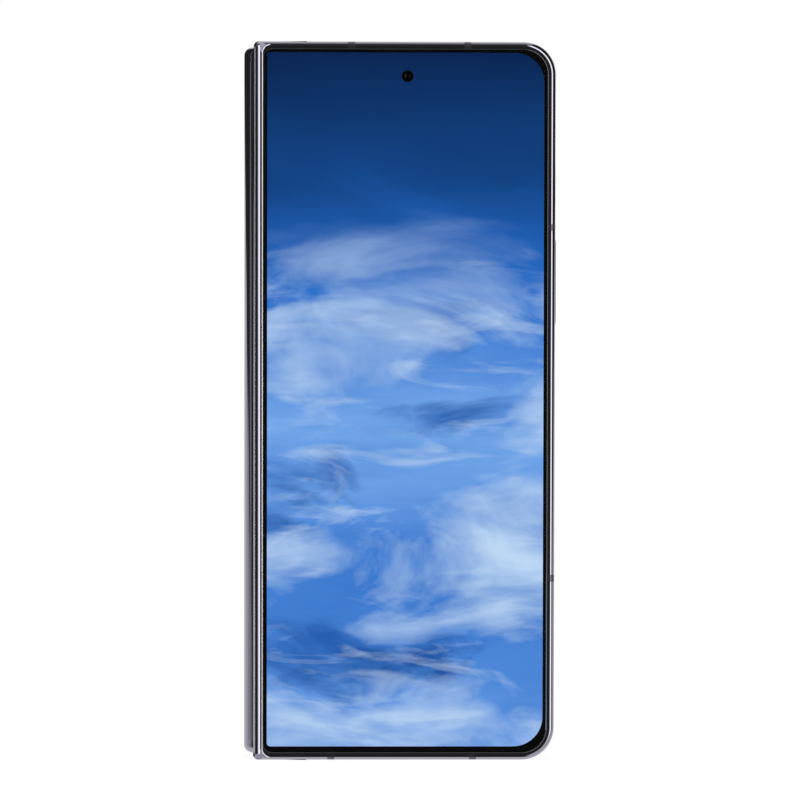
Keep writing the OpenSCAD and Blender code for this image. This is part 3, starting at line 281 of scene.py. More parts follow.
# The finish of each slot: name, colour, roughness, how metallic, how much its patches differ in tone, how
# fine its grain and its patches are, then a relief's depth in metres and the pattern's stretch
FINISHES = {
    "polished_frame": finish("Polished frame metal", LAVENDER, 0.05, 1.0, 0.04, 500, 40),
    "polished_spine": finish("Polished spine metal", LAVENDER, 0.06, 1.0, 0.04, 500, 40),
    "back_glass": finish("Satin back glass", (0.045, 0.045, 0.055), 0.28, 0.0, 0.1, 4000, 60, 1e-6),
    "cover_glass": clear_glass("Clear cover glass", (0.98, 0.99, 1.0), 0.01),
    "cover_screen": sky_screen("Lit cover screen"),
    "inner_screen": finish("Inner display film", (0.012, 0.012, 0.016), 0.12, 0.0, 0.2, 700, 50),
    "bezel_plastic": finish("Soft bezel plastic", (0.02, 0.02, 0.024), 0.5, 0.0, 0.15, 3000, 200, 4e-6),
    "grey_plastic": finish("Antenna plastic", (0.09, 0.088, 0.11), 0.4, 0.0, 0.1, 3000, 200, 2e-6),
    "black_plastic": finish("Black moulded plastic", (0.03, 0.03, 0.035), 0.45, 0.0, 0.15, 2500, 200, 5e-6),
    "island_metal": finish("Blasted island metal", (0.13, 0.13, 0.15), 0.42, 1.0, 0.08, 6000, 120, 4e-6),
    "dark_metal": finish("Turned dark metal", (0.16, 0.16, 0.19), 0.2, 1.0, 0.06, 2500, 120, 1e-6),
    "lens_glass": finish("Coated lens glass", (0.01, 0.015, 0.03), 0.03, 0.0, 0.4, 900, 150),
    "flash_glass": finish("Moulded flash lens", (0.50, 0.46, 0.33), 0.25, 0.0, 0.08, 2500, 400, 2e-5),
    "battery_foil": finish("Battery foil", (0.12, 0.13, 0.15), 0.38, 1.0, 0.1, 600, 80, 3e-5),
    "circuit_board": finish("Green solder mask", (0.03, 0.15, 0.09), 0.35, 0.0, 0.3, 1200, 500, 1e-5),
    "shield_steel": finish(
        "Stamped can steel", (0.62, 0.63, 0.65), 0.3, 1.0, 0.06, 1500, 120, 4e-6, (1, 1, 6)
    ),
    "mesh_fabric": finish("Dust mesh", (0.03, 0.03, 0.03), 0.8, 0.0, 0.5, 7000, 4000, 2e-5),
    "copper": finish("Wound copper", (0.72, 0.40, 0.22), 0.3, 1.0, 0.15, 2500, 300, 1e-5),
    "spring_steel": finish(
        "Thin spring steel", (0.42, 0.43, 0.45), 0.28, 1.0, 0.08, 1500, 120, 3e-6, (1, 1, 8)
    ),
    "hinge_steel": finish("Sintered hinge steel", (0.48, 0.49, 0.52), 0.38, 1.0, 0.12, 5000, 300, 6e-6),
    "screw_steel": finish("Bright screw steel", (0.68, 0.68, 0.70), 0.22, 1.0, 0.08, 3000, 300, 3e-6),
    "magnet_nickel": finish("Nickel plate", (0.6, 0.58, 0.55), 0.15, 1.0, 0.06, 2000, 200, 1e-6),
    "key_metal": finish("Anodised key metal", (0.50, 0.49, 0.56), 0.3, 1.0, 0.06, 5000, 200, 2e-6),
    "flex_film": finish("Amber cable film", (0.55, 0.30, 0.07), 0.25, 0.0, 0.2, 900, 120, 5e-6),
}
for node in frame["nodes"].values():
    for place, old in enumerate(node.data.materials):
        node.data.materials[place] = FINISHES[old.name.split(".")[0]]


# ---------- making pieces ----------

# Degrees past which an edge stays sharp, on most pieces and on the rim and the skin beneath it, and
# metres within which points are merged
SHARP, RIM_SHARP = 32, 14
WELD, FINE_WELD = 1e-7, 1e-8


def new_object(name, data):
    """A new object, linked to the scene."""
    made = bpy.data.objects.new(name, data)
    bpy.context.collection.objects.link(made)
    return made


def add_piece(name, mesh, material, body, slot, *nodes):
    """Give a mesh its finish and its body, and say which CAD nodes it stands for."""
    piece = new_object(name, mesh)
    mesh.materials.clear()
    for one in material if isinstance(material, list) else [material]:
        mesh.materials.append(one)
    if body:
        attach(piece, body)
    if nodes:
        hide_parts(*nodes)
    return piece


def smooth(mesh, angle=SHARP):
    """Shade a mesh smoothly, apart from its sharp edges."""
    for face in mesh.polygons:
        face.use_smooth = True
    mesh.set_sharp_from_angle(angle=math.radians(angle))


def even_normals(piece):
    """Let a piece's large faces lead the shading of the small ones beside them."""
    piece.modifiers.new("Even normals", "WEIGHTED_NORMAL").keep_sharp = True


def body_of(node):
    return frame["nodes"][node].parent.name.split(":", 1)[1]


def slot_of(node):
    """The slot whose finish a CAD node has."""
    kept = frame["nodes"][node].data.materials[0]
    return next(slot for slot, material in FINISHES.items() if material == kept)


def show(name, mesh, node):
    """Let a mesh stand for a CAD node, with the finish of the node's slot and the node's body."""
    slot = slot_of(node)
    return add_piece(name, mesh, FINISHES[slot], body_of(node), slot, node)


# Millimetres: the round of the halves' free edges and how far out the flat beyond it lies, and the
# front half's hinge side and top
FREE_ROUND, FREE_FLAT = 1.3, 6.55
LEFT, TOP = front_low.x / MM, front_high.z / MM

# Millimetres: the skin under the rim is let down from SKIN_START on, in full after SKIN_EASE. In the hinge
# side's corners, except at the glass recess's own corner, it is kept below the rim's rounded ends.
SKIN_DROP, SKIN_START, SKIN_EASE = 0.08, 5.3, 0.5
CORNER_START, CORNER_WIDE, CORNER_TALL = 5.0, 2.6, 2.2
RECESS_X, RECESS_Z = 1.9, 1.5
CORNER_SLOPE, CORNER_DROP = 0.6, 0.12
UNDER_RIM = ("front_shell", "rear_shell", "front_breaks", "rear_breaks")


def rim_height(z):
    """How far out the rim's surface lies on the hinge side, at a height from the phone's foot."""
    edge = FREE_ROUND - min(max(z, 0), max(TOP - z, 0), FREE_ROUND)
    return FREE_FLAT - FREE_ROUND + math.sqrt(FREE_ROUND**2 - edge**2)


def under_rim(mesh):
    """Let the outer skin of a half lie a little below the rim that is laid over it."""
    for vert in mesh.vertices:
        out = abs(vert.co.y) / MM
        low = out - SKIN_DROP * min(1, max(0, (out - SKIN_START) / SKIN_EASE))
        in_x, in_z = vert.co.x / MM - LEFT, min(vert.co.z / MM, TOP - vert.co.z / MM)
        in_corner = out > CORNER_START and in_x < CORNER_WIDE and in_z < CORNER_TALL
        if in_corner and (in_x < RECESS_X or in_z < RECESS_Z):
            low = min(low, rim_height(CORNER_SLOPE * in_z) - CORNER_DROP)
        vert.co.y = math.copysign(low * MM, vert.co.y)


def welded(mesh):
    """A mesh to work on, with its loose triangles joined."""
    work = bmesh.new()
    work.from_mesh(mesh)
    bmesh.ops.remove_doubles(work, verts=work.verts, dist=WELD)
    return work


def polished_copy(node, name):
    """A welded, smoothly shaded copy of a CAD node, which stands for it."""
    mesh = frame["nodes"][node].data.copy()
    if name in UNDER_RIM:
        under_rim(mesh)
    mesh.name = name
    work = welded(mesh)
    bmesh.ops.dissolve_degenerate(work, edges=work.edges, dist=WELD)
    work.to_mesh(mesh)
    work.free()
    smooth(mesh, RIM_SHARP if name in UNDER_RIM else SHARP)
    piece = show(name, mesh, node)
    even_normals(piece)
    return piece


def rounded_ring(x0, x1, z0, z1, radii, steps):
    """Points round a rectangle with its own radius at each corner: low x low z, high x low z,
    high x high z, low x high z."""
    corners = ((x0, z0, 1, 1, 180), (x1, z0, -1, 1, 270), (x1, z1, -1, -1, 0), (x0, z1, 1, -1, 90))
    ring = []
    for (cx, cz, sx, sz, start), radius in zip(corners, radii):
        for step in range(steps + 1):
            angle = math.radians(start + 90 * step / steps)
            ring.append((
                cx + sx * radius + radius * math.cos(angle),
                cz + sz * radius + radius * math.sin(angle),
            ))
    return ring


def finished_mesh(name, work):
    """A smoothly shaded mesh of the work so far, with its faces turned outwards."""
    bmesh.ops.recalc_face_normals(work, faces=work.faces)
    mesh = bpy.data.meshes.new(name)
    work.to_mesh(mesh)
    work.free()
    smooth(mesh)
    return mesh


def ring_mesh(name, rings, closed=False):
    """A skin over rings of the same number of points. Closed joins the last ring to the first, and
    otherwise both ends are filled."""
    work = bmesh.new()
    rows = [[work.verts.new(point) for point in ring] for ring in rings]
    pairs = list(zip(rows, rows[1:])) + ([(rows[-1], rows[0])] if closed else [])
    count = len(rows[0])
    for row, following in pairs:
        for i in range(count):
            j = (i + 1) % count
            work.faces.new((row[i], row[j], following[j], following[i]))
    if not closed:
        work.faces.new(list(reversed(rows[0])))
        work.faces.new(rows[-1])
    bmesh.ops.remove_doubles(work, verts=work.verts, dist=FINE_WELD)
    return finished_mesh(name, work)


# The smallest round of a plate's corner, and the steps in which its eased edge turns over
SMALLEST_ROUND = 0.02 * MM
EASE_TURNS = 5


def flat_plate(name, low, high, radii, edge=0.0, drop=0.0, front=-1, steps=12):
    """A plate between two corners of a box, with rounded corners. Its front edge is eased over a width
    and a drop."""
    def ring(y, inset):
        return [
            (x, y, z)
            for x, z in rounded_ring(
                low.x + inset, high.x - inset, low.z + inset, high.z - inset,
                [max(radius - inset, SMALLEST_ROUND) for radius in radii], steps,
            )
        ]
    back, face = (high.y, low.y) if front < 0 else (low.y, high.y)
    rings = [ring(back, 0)]
    if edge:
        for turn in range(EASE_TURNS + 1):
            angle = math.radians(90 * turn / EASE_TURNS)
            rings.append(ring(face - front * drop * (1 - math.sin(angle)), edge * (1 - math.cos(angle))))
    else:
        rings.append(ring(face, 0))
    return ring_mesh(name, rings)


# ---------- the front of the phone ----------

GLASS_RADII = [1.9 * MM, 5.4 * MM, 5.4 * MM, 1.9 * MM]
SCREEN_RADII = [0.8 * MM, 6.4 * MM, 6.4 * MM, 0.4 * MM]

# CAD nodes whose own shape is shown, and the names of their pieces
for node, name in (
    ("front_frame", "front_shell"),
    ("rear_frame", "rear_shell"),
    ("hinge_spine", "spine_cover"),
    ("spine_end_caps", "spine_caps"),
    ("front_antenna_breaks", "front_breaks"),
    ("rear_antenna_breaks", "rear_breaks"),
    ("volume_rocker", "rocker_key"),
    ("side_key", "power_button"),
    ("sim_tray", "card_tray"),
    ("camera_island", "camera_plinth"),
    ("lens_rings", "lens_collars"),
    ("usb_shell", "usb_socket_shell"),
    ("rear_glass", "rear_panel"),
    ("front_bezel", "front_inner_bezel"),
    ("rear_bezel", "rear_inner_bezel"),
):
    polished_copy(node, name)

# Front rim of each half, laid over the frame: the free sides round over into a narrow flat, and the
# hinge side has a chamfer, painted pale as a highlight, and a flat, which carries a lip and a bead. Sizes
# are in millimetres.
# RIM_FOOT and RIM_FLOOR are how far out its two hidden edges lie.
RIM_SKIN, RIM_TUCK = 0.006, 0.3
RIM_STEPS = 14
RIM_FOOT, HINGE_RIM_FOOT, RIM_FLOOR = 5.0, 5.75, 6.2
FREE_CORNER, HINGE_CORNER, GLASS_CORNER = 7, 1.2, 1.9
GLASS_INSET, HINGE_GLASS_INSET = 1.59, 2.04
BREAK_HALF, BREAK_DEEP, BREAK_SIDE = 0.75, 2.6, 30
TOP_BREAKS = (-10.45, 14.55)
BOTTOM_BREAKS = (-14.65, 15.95)
SIDE_BREAKS = (39.4, 115.0)
FLAT = FREE_FLAT + RIM_SKIN
# Angle on the free sides' round, then how far in and how far out the hinge side lies, then its corner
RIM_PROFILE = (
    (90, -RIM_SKIN, HINGE_RIM_FOOT, HINGE_CORNER),
    (84, 0.0, 5.78, HINGE_CORNER),
    (76, 0.31, 6.42, HINGE_CORNER),
    (70, 0.38, 6.48, 1.15),
    (64, 0.46, 6.535, 1.1),
    (58, 0.55, FLAT, 1.0),
    (52, 0.70, FLAT, 1.0),
    (46, 0.85, FLAT, 1.0),
    (38, 1.00, FLAT, 1.0),
    (30, 1.20, FLAT, 1.1),
    (24, 1.40, FLAT, 1.2),
    (18, 1.60, FLAT, 1.4),
    (12, 1.80, FLAT, 1.6),
    (6, 1.95, FLAT, 1.8),
    (0, HINGE_GLASS_INSET, FLAT, GLASS_CORNER),
)


def rim_rows():
    """Rows of the rim: how far in and out on the free sides, the same on the hinge side, its corner."""
    rows = [(inset, RIM_FOOT, inset, HINGE_RIM_FOOT, HINGE_CORNER) for inset in (RIM_TUCK, -RIM_SKIN)]
    reach = FREE_ROUND + RIM_SKIN
    for degrees, hinge_in, hinge_out, radius in RIM_PROFILE:
        angle = math.radians(degrees)
        free_in = FREE_ROUND - reach * math.sin(angle)
        free_out = FREE_FLAT - FREE_ROUND + reach * math.cos(angle)
        rows.append((free_in, free_out, hinge_in, hinge_out, radius))
    rows.append((GLASS_INSET, FLAT, HINGE_GLASS_INSET, FREE_FLAT, GLASS_CORNER))
    rows.append((GLASS_INSET, RIM_FLOOR, HINGE_GLASS_INSET, RIM_FLOOR, GLASS_CORNER))
    return rows


def rim_ring(row, side):
    """One ring of the rim, with points where the antenna breaks begin and end."""
    free_in, free_out, hinge_in, hinge_out, hinge_radius = row
    x0, x1 = LEFT + hinge_in, front_high.x / MM - free_in
    z0, z1 = front_low.z / MM + free_in, TOP - free_in
    free_radius = FREE_CORNER - free_in
    points = []

    def put(x, z, hinge_share):
        out = free_out + (hinge_out - free_out) * hinge_share
        points.append(Vector((x, side * out, z)) * MM)

    def corner(cx, cz, radius, start, from_share, to_share):
        for step in range(RIM_STEPS + 1):
            part = step / RIM_STEPS
            angle = math.radians(start + 90 * part)
            away = part * from_share + (1 - part) * to_share
            share = (1 - away) ** 3 * max(from_share, to_share)
            put(cx + radius * math.cos(angle), cz + radius * math.sin(angle), share)

    corner(x0 + hinge_radius, z0 + hinge_radius, hinge_radius, 180, 1, 0)
    for middle in BOTTOM_BREAKS:
        put(middle - BREAK_HALF, z0, 0)
        put(middle + BREAK_HALF, z0, 0)
    corner(x1 - free_radius, z0 + free_radius, free_radius, 270, 0, 0)
    for middle in SIDE_BREAKS:
        put(x1, middle - BREAK_HALF, 0)
        put(x1, middle + BREAK_HALF, 0)
    corner(x1 - free_radius, z1 - free_radius, free_radius, 0, 0, 0)
    for middle in reversed(TOP_BREAKS):
        put(middle + BREAK_HALF, z1, 0)
        put(middle - BREAK_HALF, z1, 0)
    corner(x0 + hinge_radius, z1 - hinge_radius, hinge_radius, 90, 0, 1)
    return points


def in_break(point):
    """Whether the middle of a face lies on an antenna break."""
    x, z = point.x / MM, point.z / MM
    near = [abs(x - middle) for middle in (TOP_BREAKS if z > TOP / 2 else BOTTOM_BREAKS)]
    beside = [abs(z - middle) for middle in SIDE_BREAKS]
    if z < BREAK_DEEP or z > TOP - BREAK_DEEP:
        return min(near) < BREAK_HALF
    return x > BREAK_SIDE and min(beside) < BREAK_HALF


# Finishes that the scene alone has
# The chamfer's pale, nearly plain finish is a painted highlight: it shows a bright band under any lamp
CHAMFER_PAINTED_HIGHLIGHT = finish("Satin chamfer metal", (0.9, 0.9, 0.92), 0.4, 0.1, 0.04, 500, 40)
# The bead is shaped to catch real reflections, and its pale colour, lighter than the frame's, is a painted
# highlight
BEAD_PAINTED_HIGHLIGHT = finish("Satin bead metal", (0.62, 0.62, 0.65), 0.4, 0.3, 0.04, 500, 40)
SATIN_METAL = finish("Satin corner metal", (0.25, 0.246, 0.325), 0.5, 0.3, 0.05, 3000, 90)
BREAK_PLASTIC = finish("Glazed antenna plastic", (0.12, 0.118, 0.145), 0.16, 0.9, 0.08, 3000, 200)
EDGE_GLASS = with_input(
    finish("Polished glass edge", (0.012, 0.012, 0.014), 0.05, 0.0, 0.2, 900, 90), "IOR", 2.1
)

# The chamfer's faces lie within CHAMFER_WIDE of the side, and their normals keep within the shares given
CHAMFER_WIDE, CHAMFER_OUT, CHAMFER_ALONG = 0.33, 0.5, 0.3
OUTWARD = 0.25
SATIN_INSET = 0.85

# The lip's section in x and out, where it ends, how long its points are and how small their tips
LIP_MIDDLE, LIP_FLOOR = -30.3, 6.40
LIP_SHAPE = ((-30.62, LIP_FLOOR), (-30.61, FLAT), (-30.43, 6.695), (-30.08, FLAT), (-30.07, LIP_FLOOR))
LIP_ENDS, LIP_POINT = (0.95, 154.4), 0.45
LIP_TIP, LIP_TIP_HEIGHT = 0.04, 0.3
# The bead's section across and up from its middle, where it runs, and the degrees through which it curls
BEAD_SHAPE = ((-0.08, -0.15), (-0.06, 0.0), (0.0, 0.115), (0.15, 0.02), (0.16, -0.15))
BEAD_X, BEAD_ROUND = -29.62, 1.95
BEAD_ENDS = (0.56, 154.2)
BEAD_TURN, BEAD_STEP, BEAD_TAPER, BEAD_TIP = 88, 4, 16, 0.1
# How far the lower end of each leans towards the glass, and the degrees past which their edges stay sharp
LIP_LEAN, BEAD_LEAN = 0.14, 0.07
LIP_SHARP, BEAD_SHARP = 12, 16


def on_chamfer(face):
    """Whether a rim face belongs to the chamfer along the hinge side, which is painted pale as a highlight.
    """
    if face.center.x / MM >= LEFT + CHAMFER_WIDE:
        return False
    return OUTWARD < abs(face.normal.y) < CHAMFER_OUT and abs(face.normal.z) < CHAMFER_ALONG


def in_satin_corner(face):
    """Whether a rim face lies outside the bead's curl at the hinge side's ends."""
    x, z = face.center.x / MM, face.center.z / MM
    foot = z < TOP / 2
    beyond = BEAD_ENDS[0] + BEAD_ROUND - z if foot else z - BEAD_ENDS[1] + BEAD_ROUND
    inward = BEAD_X + BEAD_ROUND - x
    at_side = x < LEFT + (0 if foot else SATIN_INSET)
    if abs(face.normal.y) < OUTWARD or beyond < 0 or inward < 0 or at_side:
        return False
    return math.hypot(inward, beyond) > BEAD_ROUND


def lip_mesh(name, side):
    """A straight raised lip with pointed ends."""
    foot, top = LIP_ENDS
    rings = []
    for z, share in ((foot, LIP_TIP), (foot + LIP_POINT, 1), (top - LIP_POINT, 1), (top, LIP_TIP)):
        lean = LIP_LEAN if z < TOP / 2 else 0
        lift = LIP_TIP_HEIGHT + (1 - LIP_TIP_HEIGHT) * share
        ring = []
        for x, out in LIP_SHAPE:
            across = LIP_MIDDLE + (x - LIP_MIDDLE) * share + lean
            ring.append(Vector((across, side * (LIP_FLOOR + (out - LIP_FLOOR) * lift), z)) * MM)
        rings.append(ring)
    mesh = ring_mesh(name, rings)
    smooth(mesh, LIP_SHARP)
    return mesh


def bead_mesh(name, side):
    """A bead beside the glass, straight along the hinge and curling out over the rim at both ends."""
    turns = range(0, BEAD_TURN + 1, BEAD_STEP)
    stations = [(-1, turn) for turn in reversed(turns)] + [(1, turn) for turn in turns]
    rings = []
    for end, turn in stations:
        angle = math.radians(turn)
        middle = BEAD_ENDS[0] + BEAD_ROUND if end < 0 else BEAD_ENDS[1] - BEAD_ROUND
        share = min(1, BEAD_TIP + (BEAD_TURN - turn) / BEAD_TAPER)
        ring = []
        for across, lift in BEAD_SHAPE:
            reach = BEAD_ROUND - across * share
            x = BEAD_X + BEAD_ROUND - reach * math.cos(angle) + BEAD_LEAN * (end < 0)
            z = middle + end * reach * math.sin(angle)
            ring.append(Vector((x, side * (rim_height(z) + (lift * share if lift > 0 else lift)), z)) * MM)
        rings.append(ring)
    mesh = ring_mesh(name, rings)
    smooth(mesh, BEAD_SHARP)
    return mesh


for side, half in ((-1, "front"), (1, "rear")):
    body = f"{half}_half"
    rim_mesh = ring_mesh(f"{half}_rim", [rim_ring(row, side) for row in rim_rows()], closed=True)
    smooth(rim_mesh, RIM_SHARP)
    rim_finishes = [FINISHES["polished_frame"], BREAK_PLASTIC, CHAMFER_PAINTED_HIGHLIGHT, SATIN_METAL]
    rim = add_piece(f"{half}_rim", rim_mesh, rim_finishes, body, "polished_frame")
    for face in rim_mesh.polygons:
        if in_break(face.center):
            face.material_index = 1
        elif in_satin_corner(face):
            face.material_index = 3
        elif on_chamfer(face):
            face.material_index = 2
    even_normals(rim)
    lip = lip_mesh(f"{half}_lip", side)
    add_piece(f"{half}_lip", lip, FINISHES["polished_frame"], body, "polished_frame")
    bead = bead_mesh(f"{half}_bead", side)
    add_piece(f"{half}_bead", bead, BEAD_PAINTED_HIGHLIGHT, body, "polished_frame")

# The glass's chamfer, in width and drop. A face whose normal is less straight than FACE_ON belongs to it.
GLASS_CHAMFER = (0.26 * MM, 0.12 * MM)
FACE_ON = 0.995
glass_mesh = flat_plate("cover_pane", glass_low, glass_high, GLASS_RADII, *GLASS_CHAMFER, steps=20)
glass_finishes = [FINISHES["cover_glass"], EDGE_GLASS]
add_piece("cover_pane", glass_mesh, glass_finishes, "front_half", "cover_glass", "cover_glass")
for face in glass_mesh.polygons:
    face.material_index = 1 if abs(face.normal.y) < FACE_ON else 0

# The camera's tip is drawn a little wider than in the CAD model, with two faint painted glints: spots
# that glow as painted reflections. A glint has its millimetres across from the middle, its height in
# millimetres and its tone.
HOLE_AT, HOLE_MOVED = Vector((1.8, 0, 147.3)) * MM, Vector((1.61, 0, 147.43)) * MM
HOLE_SPREAD, HOLE_FRONT = 1.06, -5.9 * MM
PAINTED_GLINTS = ((-0.42, 0.62, (0.018, 0.032, 0.030)), (0.46, 0.55, (0.010, 0.008, 0.005)))
PAINTED_GLINT_WIDE, PAINTED_GLINT_LIFT = 0.24 * MM, 0.1 * MM


def pupil_with_painted_glints(name):
    """Black glass with a teal and a brown painted glint beside the middle, which glow as painted
    reflections.
    """
    material, tree, shader = new_material(name)
    light = (0, 0, 0)
    for across, tall, tone in PAINTED_GLINTS:
        place = (HOLE_MOVED.x + across * MM, 0, HOLE_MOVED.z + PAINTED_GLINT_LIFT)
        away = length_of(tree, object_coords(tree, (1 / PAINTED_GLINT_WIDE, 0, 1 / (tall * MM)), place))
        light = two_tones(tree, spread(tree, away, 1, 0, 0.2, 1.0), light, tone)
    feed(shader, {"Base Color": (0.002, 0.002, 0.003), "Specular IOR Level": 0.0})
    # The glints glow by themselves: painted reflections, lit by no lamp
    feed(shader, {"Emission Color": light, "Emission Strength": 1.0})
    return material


selfie = polished_copy("cover_camera", "selfie_camera").data
selfie.materials.append(pupil_with_painted_glints("Camera pupil"))
for vert in selfie.vertices:
    if vert.co.y < HOLE_FRONT:
        vert.co.x = HOLE_MOVED.x + (vert.co.x - HOLE_AT.x) * HOLE_SPREAD
        vert.co.z = HOLE_MOVED.z + (vert.co.z - HOLE_AT.z) * HOLE_SPREAD
for face in selfie.polygons:
    if all(selfie.vertices[i].co.y < HOLE_FRONT for i in face.vertices):
        face.material_index = 1

SCREEN_DROP = 0.03 * MM
LEFT_MARGIN, RIGHT_MARGIN = 0.1 * MM, 0.12 * MM
LIT_LEFT, LIT_RIGHT = screen_low.x + LEFT_MARGIN, screen_high.x - RIGHT_MARGIN
panel_low = Vector((LIT_LEFT, screen_low.y + SCREEN_DROP, screen_low.z))
panel_high = Vector((LIT_RIGHT, screen_high.y, screen_high.z))
panel_mesh = flat_plate("lit_screen", panel_low, panel_high, SCREEN_RADII)
show("lit_screen", panel_mesh, "cover_display")


def bordered(name, outer, outer_radii, inner, inner_radii, y0, y1):
    """A thin border between two rounded rectangles."""
    def ring(box, radii, y):
        return [(x, y, z) for x, z in rounded_ring(*box, radii, BORDER_STEPS)]
    rings = [
        ring(outer, outer_radii, y0), ring(outer, outer_radii, y1),
        ring(inner, inner_radii, y1), ring(inner, inner_radii, y0),
    ]
    return ring_mesh(name, rings, closed=True)


BORDER_STEPS = 16
INK_INSET, INK_GAP, INK_DEEP = 0.25 * MM, 0.005 * MM, 0.015 * MM
INK_Y = glass_high.y + INK_GAP
ink_mesh = bordered(
    "glass_border",
    (glass_low.x + INK_INSET, glass_high.x - INK_INSET, glass_low.z + INK_INSET, glass_high.z - INK_INSET),
    [radius - INK_INSET for radius in GLASS_RADII],
    (LIT_LEFT, LIT_RIGHT, screen_low.z, screen_high.z),
    SCREEN_RADII, INK_Y, INK_Y + INK_DEEP,
)
INK = with_input(
    finish("Border ink", (0.002, 0.002, 0.003), 0.6, 0.0, 0.2, 3000, 200), "Specular IOR Level", 0.0
)
add_piece("glass_border", ink_mesh, INK, "front_half", "bezel_plastic")


# ---------- cameras, flash, coil and screws ----------


def lathe(name, profile, centres=((0, 0),), steps=48):
    """Turned shapes about axes along y. The profile holds radius, y, and how deeply six lobes cut it,
    and it begins and ends on the axis."""
    work = bmesh.new()
    for x, z in centres:
        rows = []
        for radius, y, lobes in profile:
            if radius < FINE_WELD:
                rows.append([work.verts.new((x, y, z))])
                continue
            row = []
            for step in range(steps):
                angle = 2 * math.pi * step / steps
                reach = radius * (1 - lobes * (0.5 + 0.5 * math.cos(6 * angle)))
                row.append(work.verts.new((x + reach * math.cos(angle), y, z + reach * math.sin(angle))))
            rows.append(row)
        for row, following in zip(rows, rows[1:]):
            for i in range(steps):
                j = (i + 1) % steps
                if len(row) == 1:
                    work.faces.new((row[0], following[j], following[i]))
                elif len(following) == 1:
                    work.faces.new((row[i], row[j], following[0]))
                else:
                    work.faces.new((row[i], row[j], following[j], following[i]))
    return finished_mesh(name, work)


def loose_parts(node):
    """The low and high corners of a node's separate parts."""
    work = welded(frame["nodes"][node].data)
    left = set(work.verts)
    parts = []
    while left:
        edge = [left.pop()]
        group = []
        while edge:
            vert = edge.pop()
            group.append(vert.co.copy())
            for link in vert.link_edges:
                other = link.other_vert(vert)
                if other in left:
                    left.remove(other)
                    edge.append(other)
        low = Vector([min(point[axis] for point in group) for axis in range(3)])
        high = Vector([max(point[axis] for point in group) for axis in range(3)])
        parts.append((low, high))
    work.free()
    return parts


def node_group(name):
    """An empty Geometry Nodes tree with a geometry input and output."""
    tree = bpy.data.node_groups.new(name, "GeometryNodeTree")
    for way in ("INPUT", "OUTPUT"):
        tree.interface.new_socket("Geometry", in_out=way, socket_type="NodeSocketGeometry")
    return tree


def end_tree(tree, made, material):
    """Realize what was made, give it a finish and send it out."""
    real = add_node(tree, "GeometryNodeRealizeInstances", {"Geometry": made})
    painted = {"Geometry": real.outputs["Geometry"], "Material": material}
    paint = add_node(tree, "GeometryNodeSetMaterial", painted)
    add_node(tree, "NodeGroupOutput", {"Geometry": paint.outputs["Geometry"]})


def made_plain(name, points, tree, values):
    """Run a tree on a mesh of points, with its named inputs set, and keep the result as a mesh."""
    seed_mesh = bpy.data.meshes.new(name + "_points")
    seed_mesh.from_pydata(points, [], [])
    holder = new_object(name + "_points", seed_mesh)
    maker = holder.modifiers.new("Maker", "NODES")
    maker.node_group = tree
    for item in tree.interface.items_tree:
        if item.in_out == "INPUT" and item.name in values:
            maker[item.identifier] = values[item.name]
    bpy.context.view_layer.update()
    mesh = bpy.data.meshes.new_from_object(holder.evaluated_get(bpy.context.evaluated_depsgraph_get()))
    mesh.name = name
    bpy.data.objects.remove(holder)
    smooth(mesh)
    return mesh


def copies_tree(name, material):
    """One copy of the part given as an input on each point."""
    tree = node_group(name)
    tree.interface.new_socket("Part", in_out="INPUT", socket_type="NodeSocketObject")
    start = tree.nodes.new("NodeGroupInput").outputs
    part = add_node(tree, "GeometryNodeObjectInfo", {"Object": start["Part"]})
    place = add_node(tree, "GeometryNodeInstanceOnPoints", {
        "Points": start["Geometry"], "Instance": part.outputs["Geometry"],
    })
    end_tree(tree, place.outputs["Instances"], material)
    return tree


def coil_tree(name, material):
    """A flat wound wire round a centre, in the plane across y."""
    tree = node_group(name)
    for label in ("Inner radius", "Outer radius", "Turns", "Wire width", "Wire height"):
        tree.interface.new_socket(label, in_out="INPUT", socket_type="NodeSocketFloat")
    tree.interface.new_socket("Centre", in_out="INPUT", socket_type="NodeSocketVector")
    start = tree.nodes.new("NodeGroupInput").outputs
    wind = add_node(tree, "GeometryNodeCurveSpiral", {
        "Resolution": 48, "Height": 0, "Rotations": start["Turns"],
        "Start Radius": start["Inner radius"], "End Radius": start["Outer radius"],
    })
    wire = add_node(tree, "GeometryNodeCurvePrimitiveCircle", {"Resolution": 8, "Radius": 0.5})
    flat = add_node(tree, "ShaderNodeCombineXYZ", {
        "X": start["Wire width"], "Y": start["Wire height"], "Z": 1,
    })
    shaped = add_node(tree, "GeometryNodeTransform", {
        "Geometry": wire.outputs["Curve"], "Scale": flat.outputs["Vector"],
    })
    sweep = add_node(tree, "GeometryNodeCurveToMesh", {
        "Curve": wind.outputs["Curve"], "Profile Curve": shaped.outputs["Geometry"], "Fill Caps": True,
    })
    upright = add_node(tree, "GeometryNodeTransform", {
        "Geometry": sweep.outputs["Mesh"], "Translation": start["Centre"], "Rotation": (math.pi / 2, 0, 0),
    })
    end_tree(tree, upright.outputs["Geometry"], material)
    return tree


lens_low, lens_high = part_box("lens_glasses")
LENS_R = (lens_high.x - lens_low.x) / 2
LENS_X = (lens_low.x + lens_high.x) / 2
LENS_CENTRES = [
    (LENS_X, z) for z in (lens_low.z + LENS_R, (lens_low.z + lens_high.z) / 2, lens_high.z - LENS_R)
]
# Steps of a lens barrel: share of its radius, and millimetres below its edge
BARREL_STEPS = (
    (1, 0.02), (0.66, 0.02), (0.63, 0.16), (0.56, 0.16), (0.54, 0.27), (0.48, 0.27), (0.46, 0.38), (0, 0.38),
)
barrel = [(0, lens_low.y, 0), (LENS_R, lens_low.y, 0)]
barrel += [(LENS_R * share, lens_high.y - depth * MM, 0) for share, depth in BARREL_STEPS]
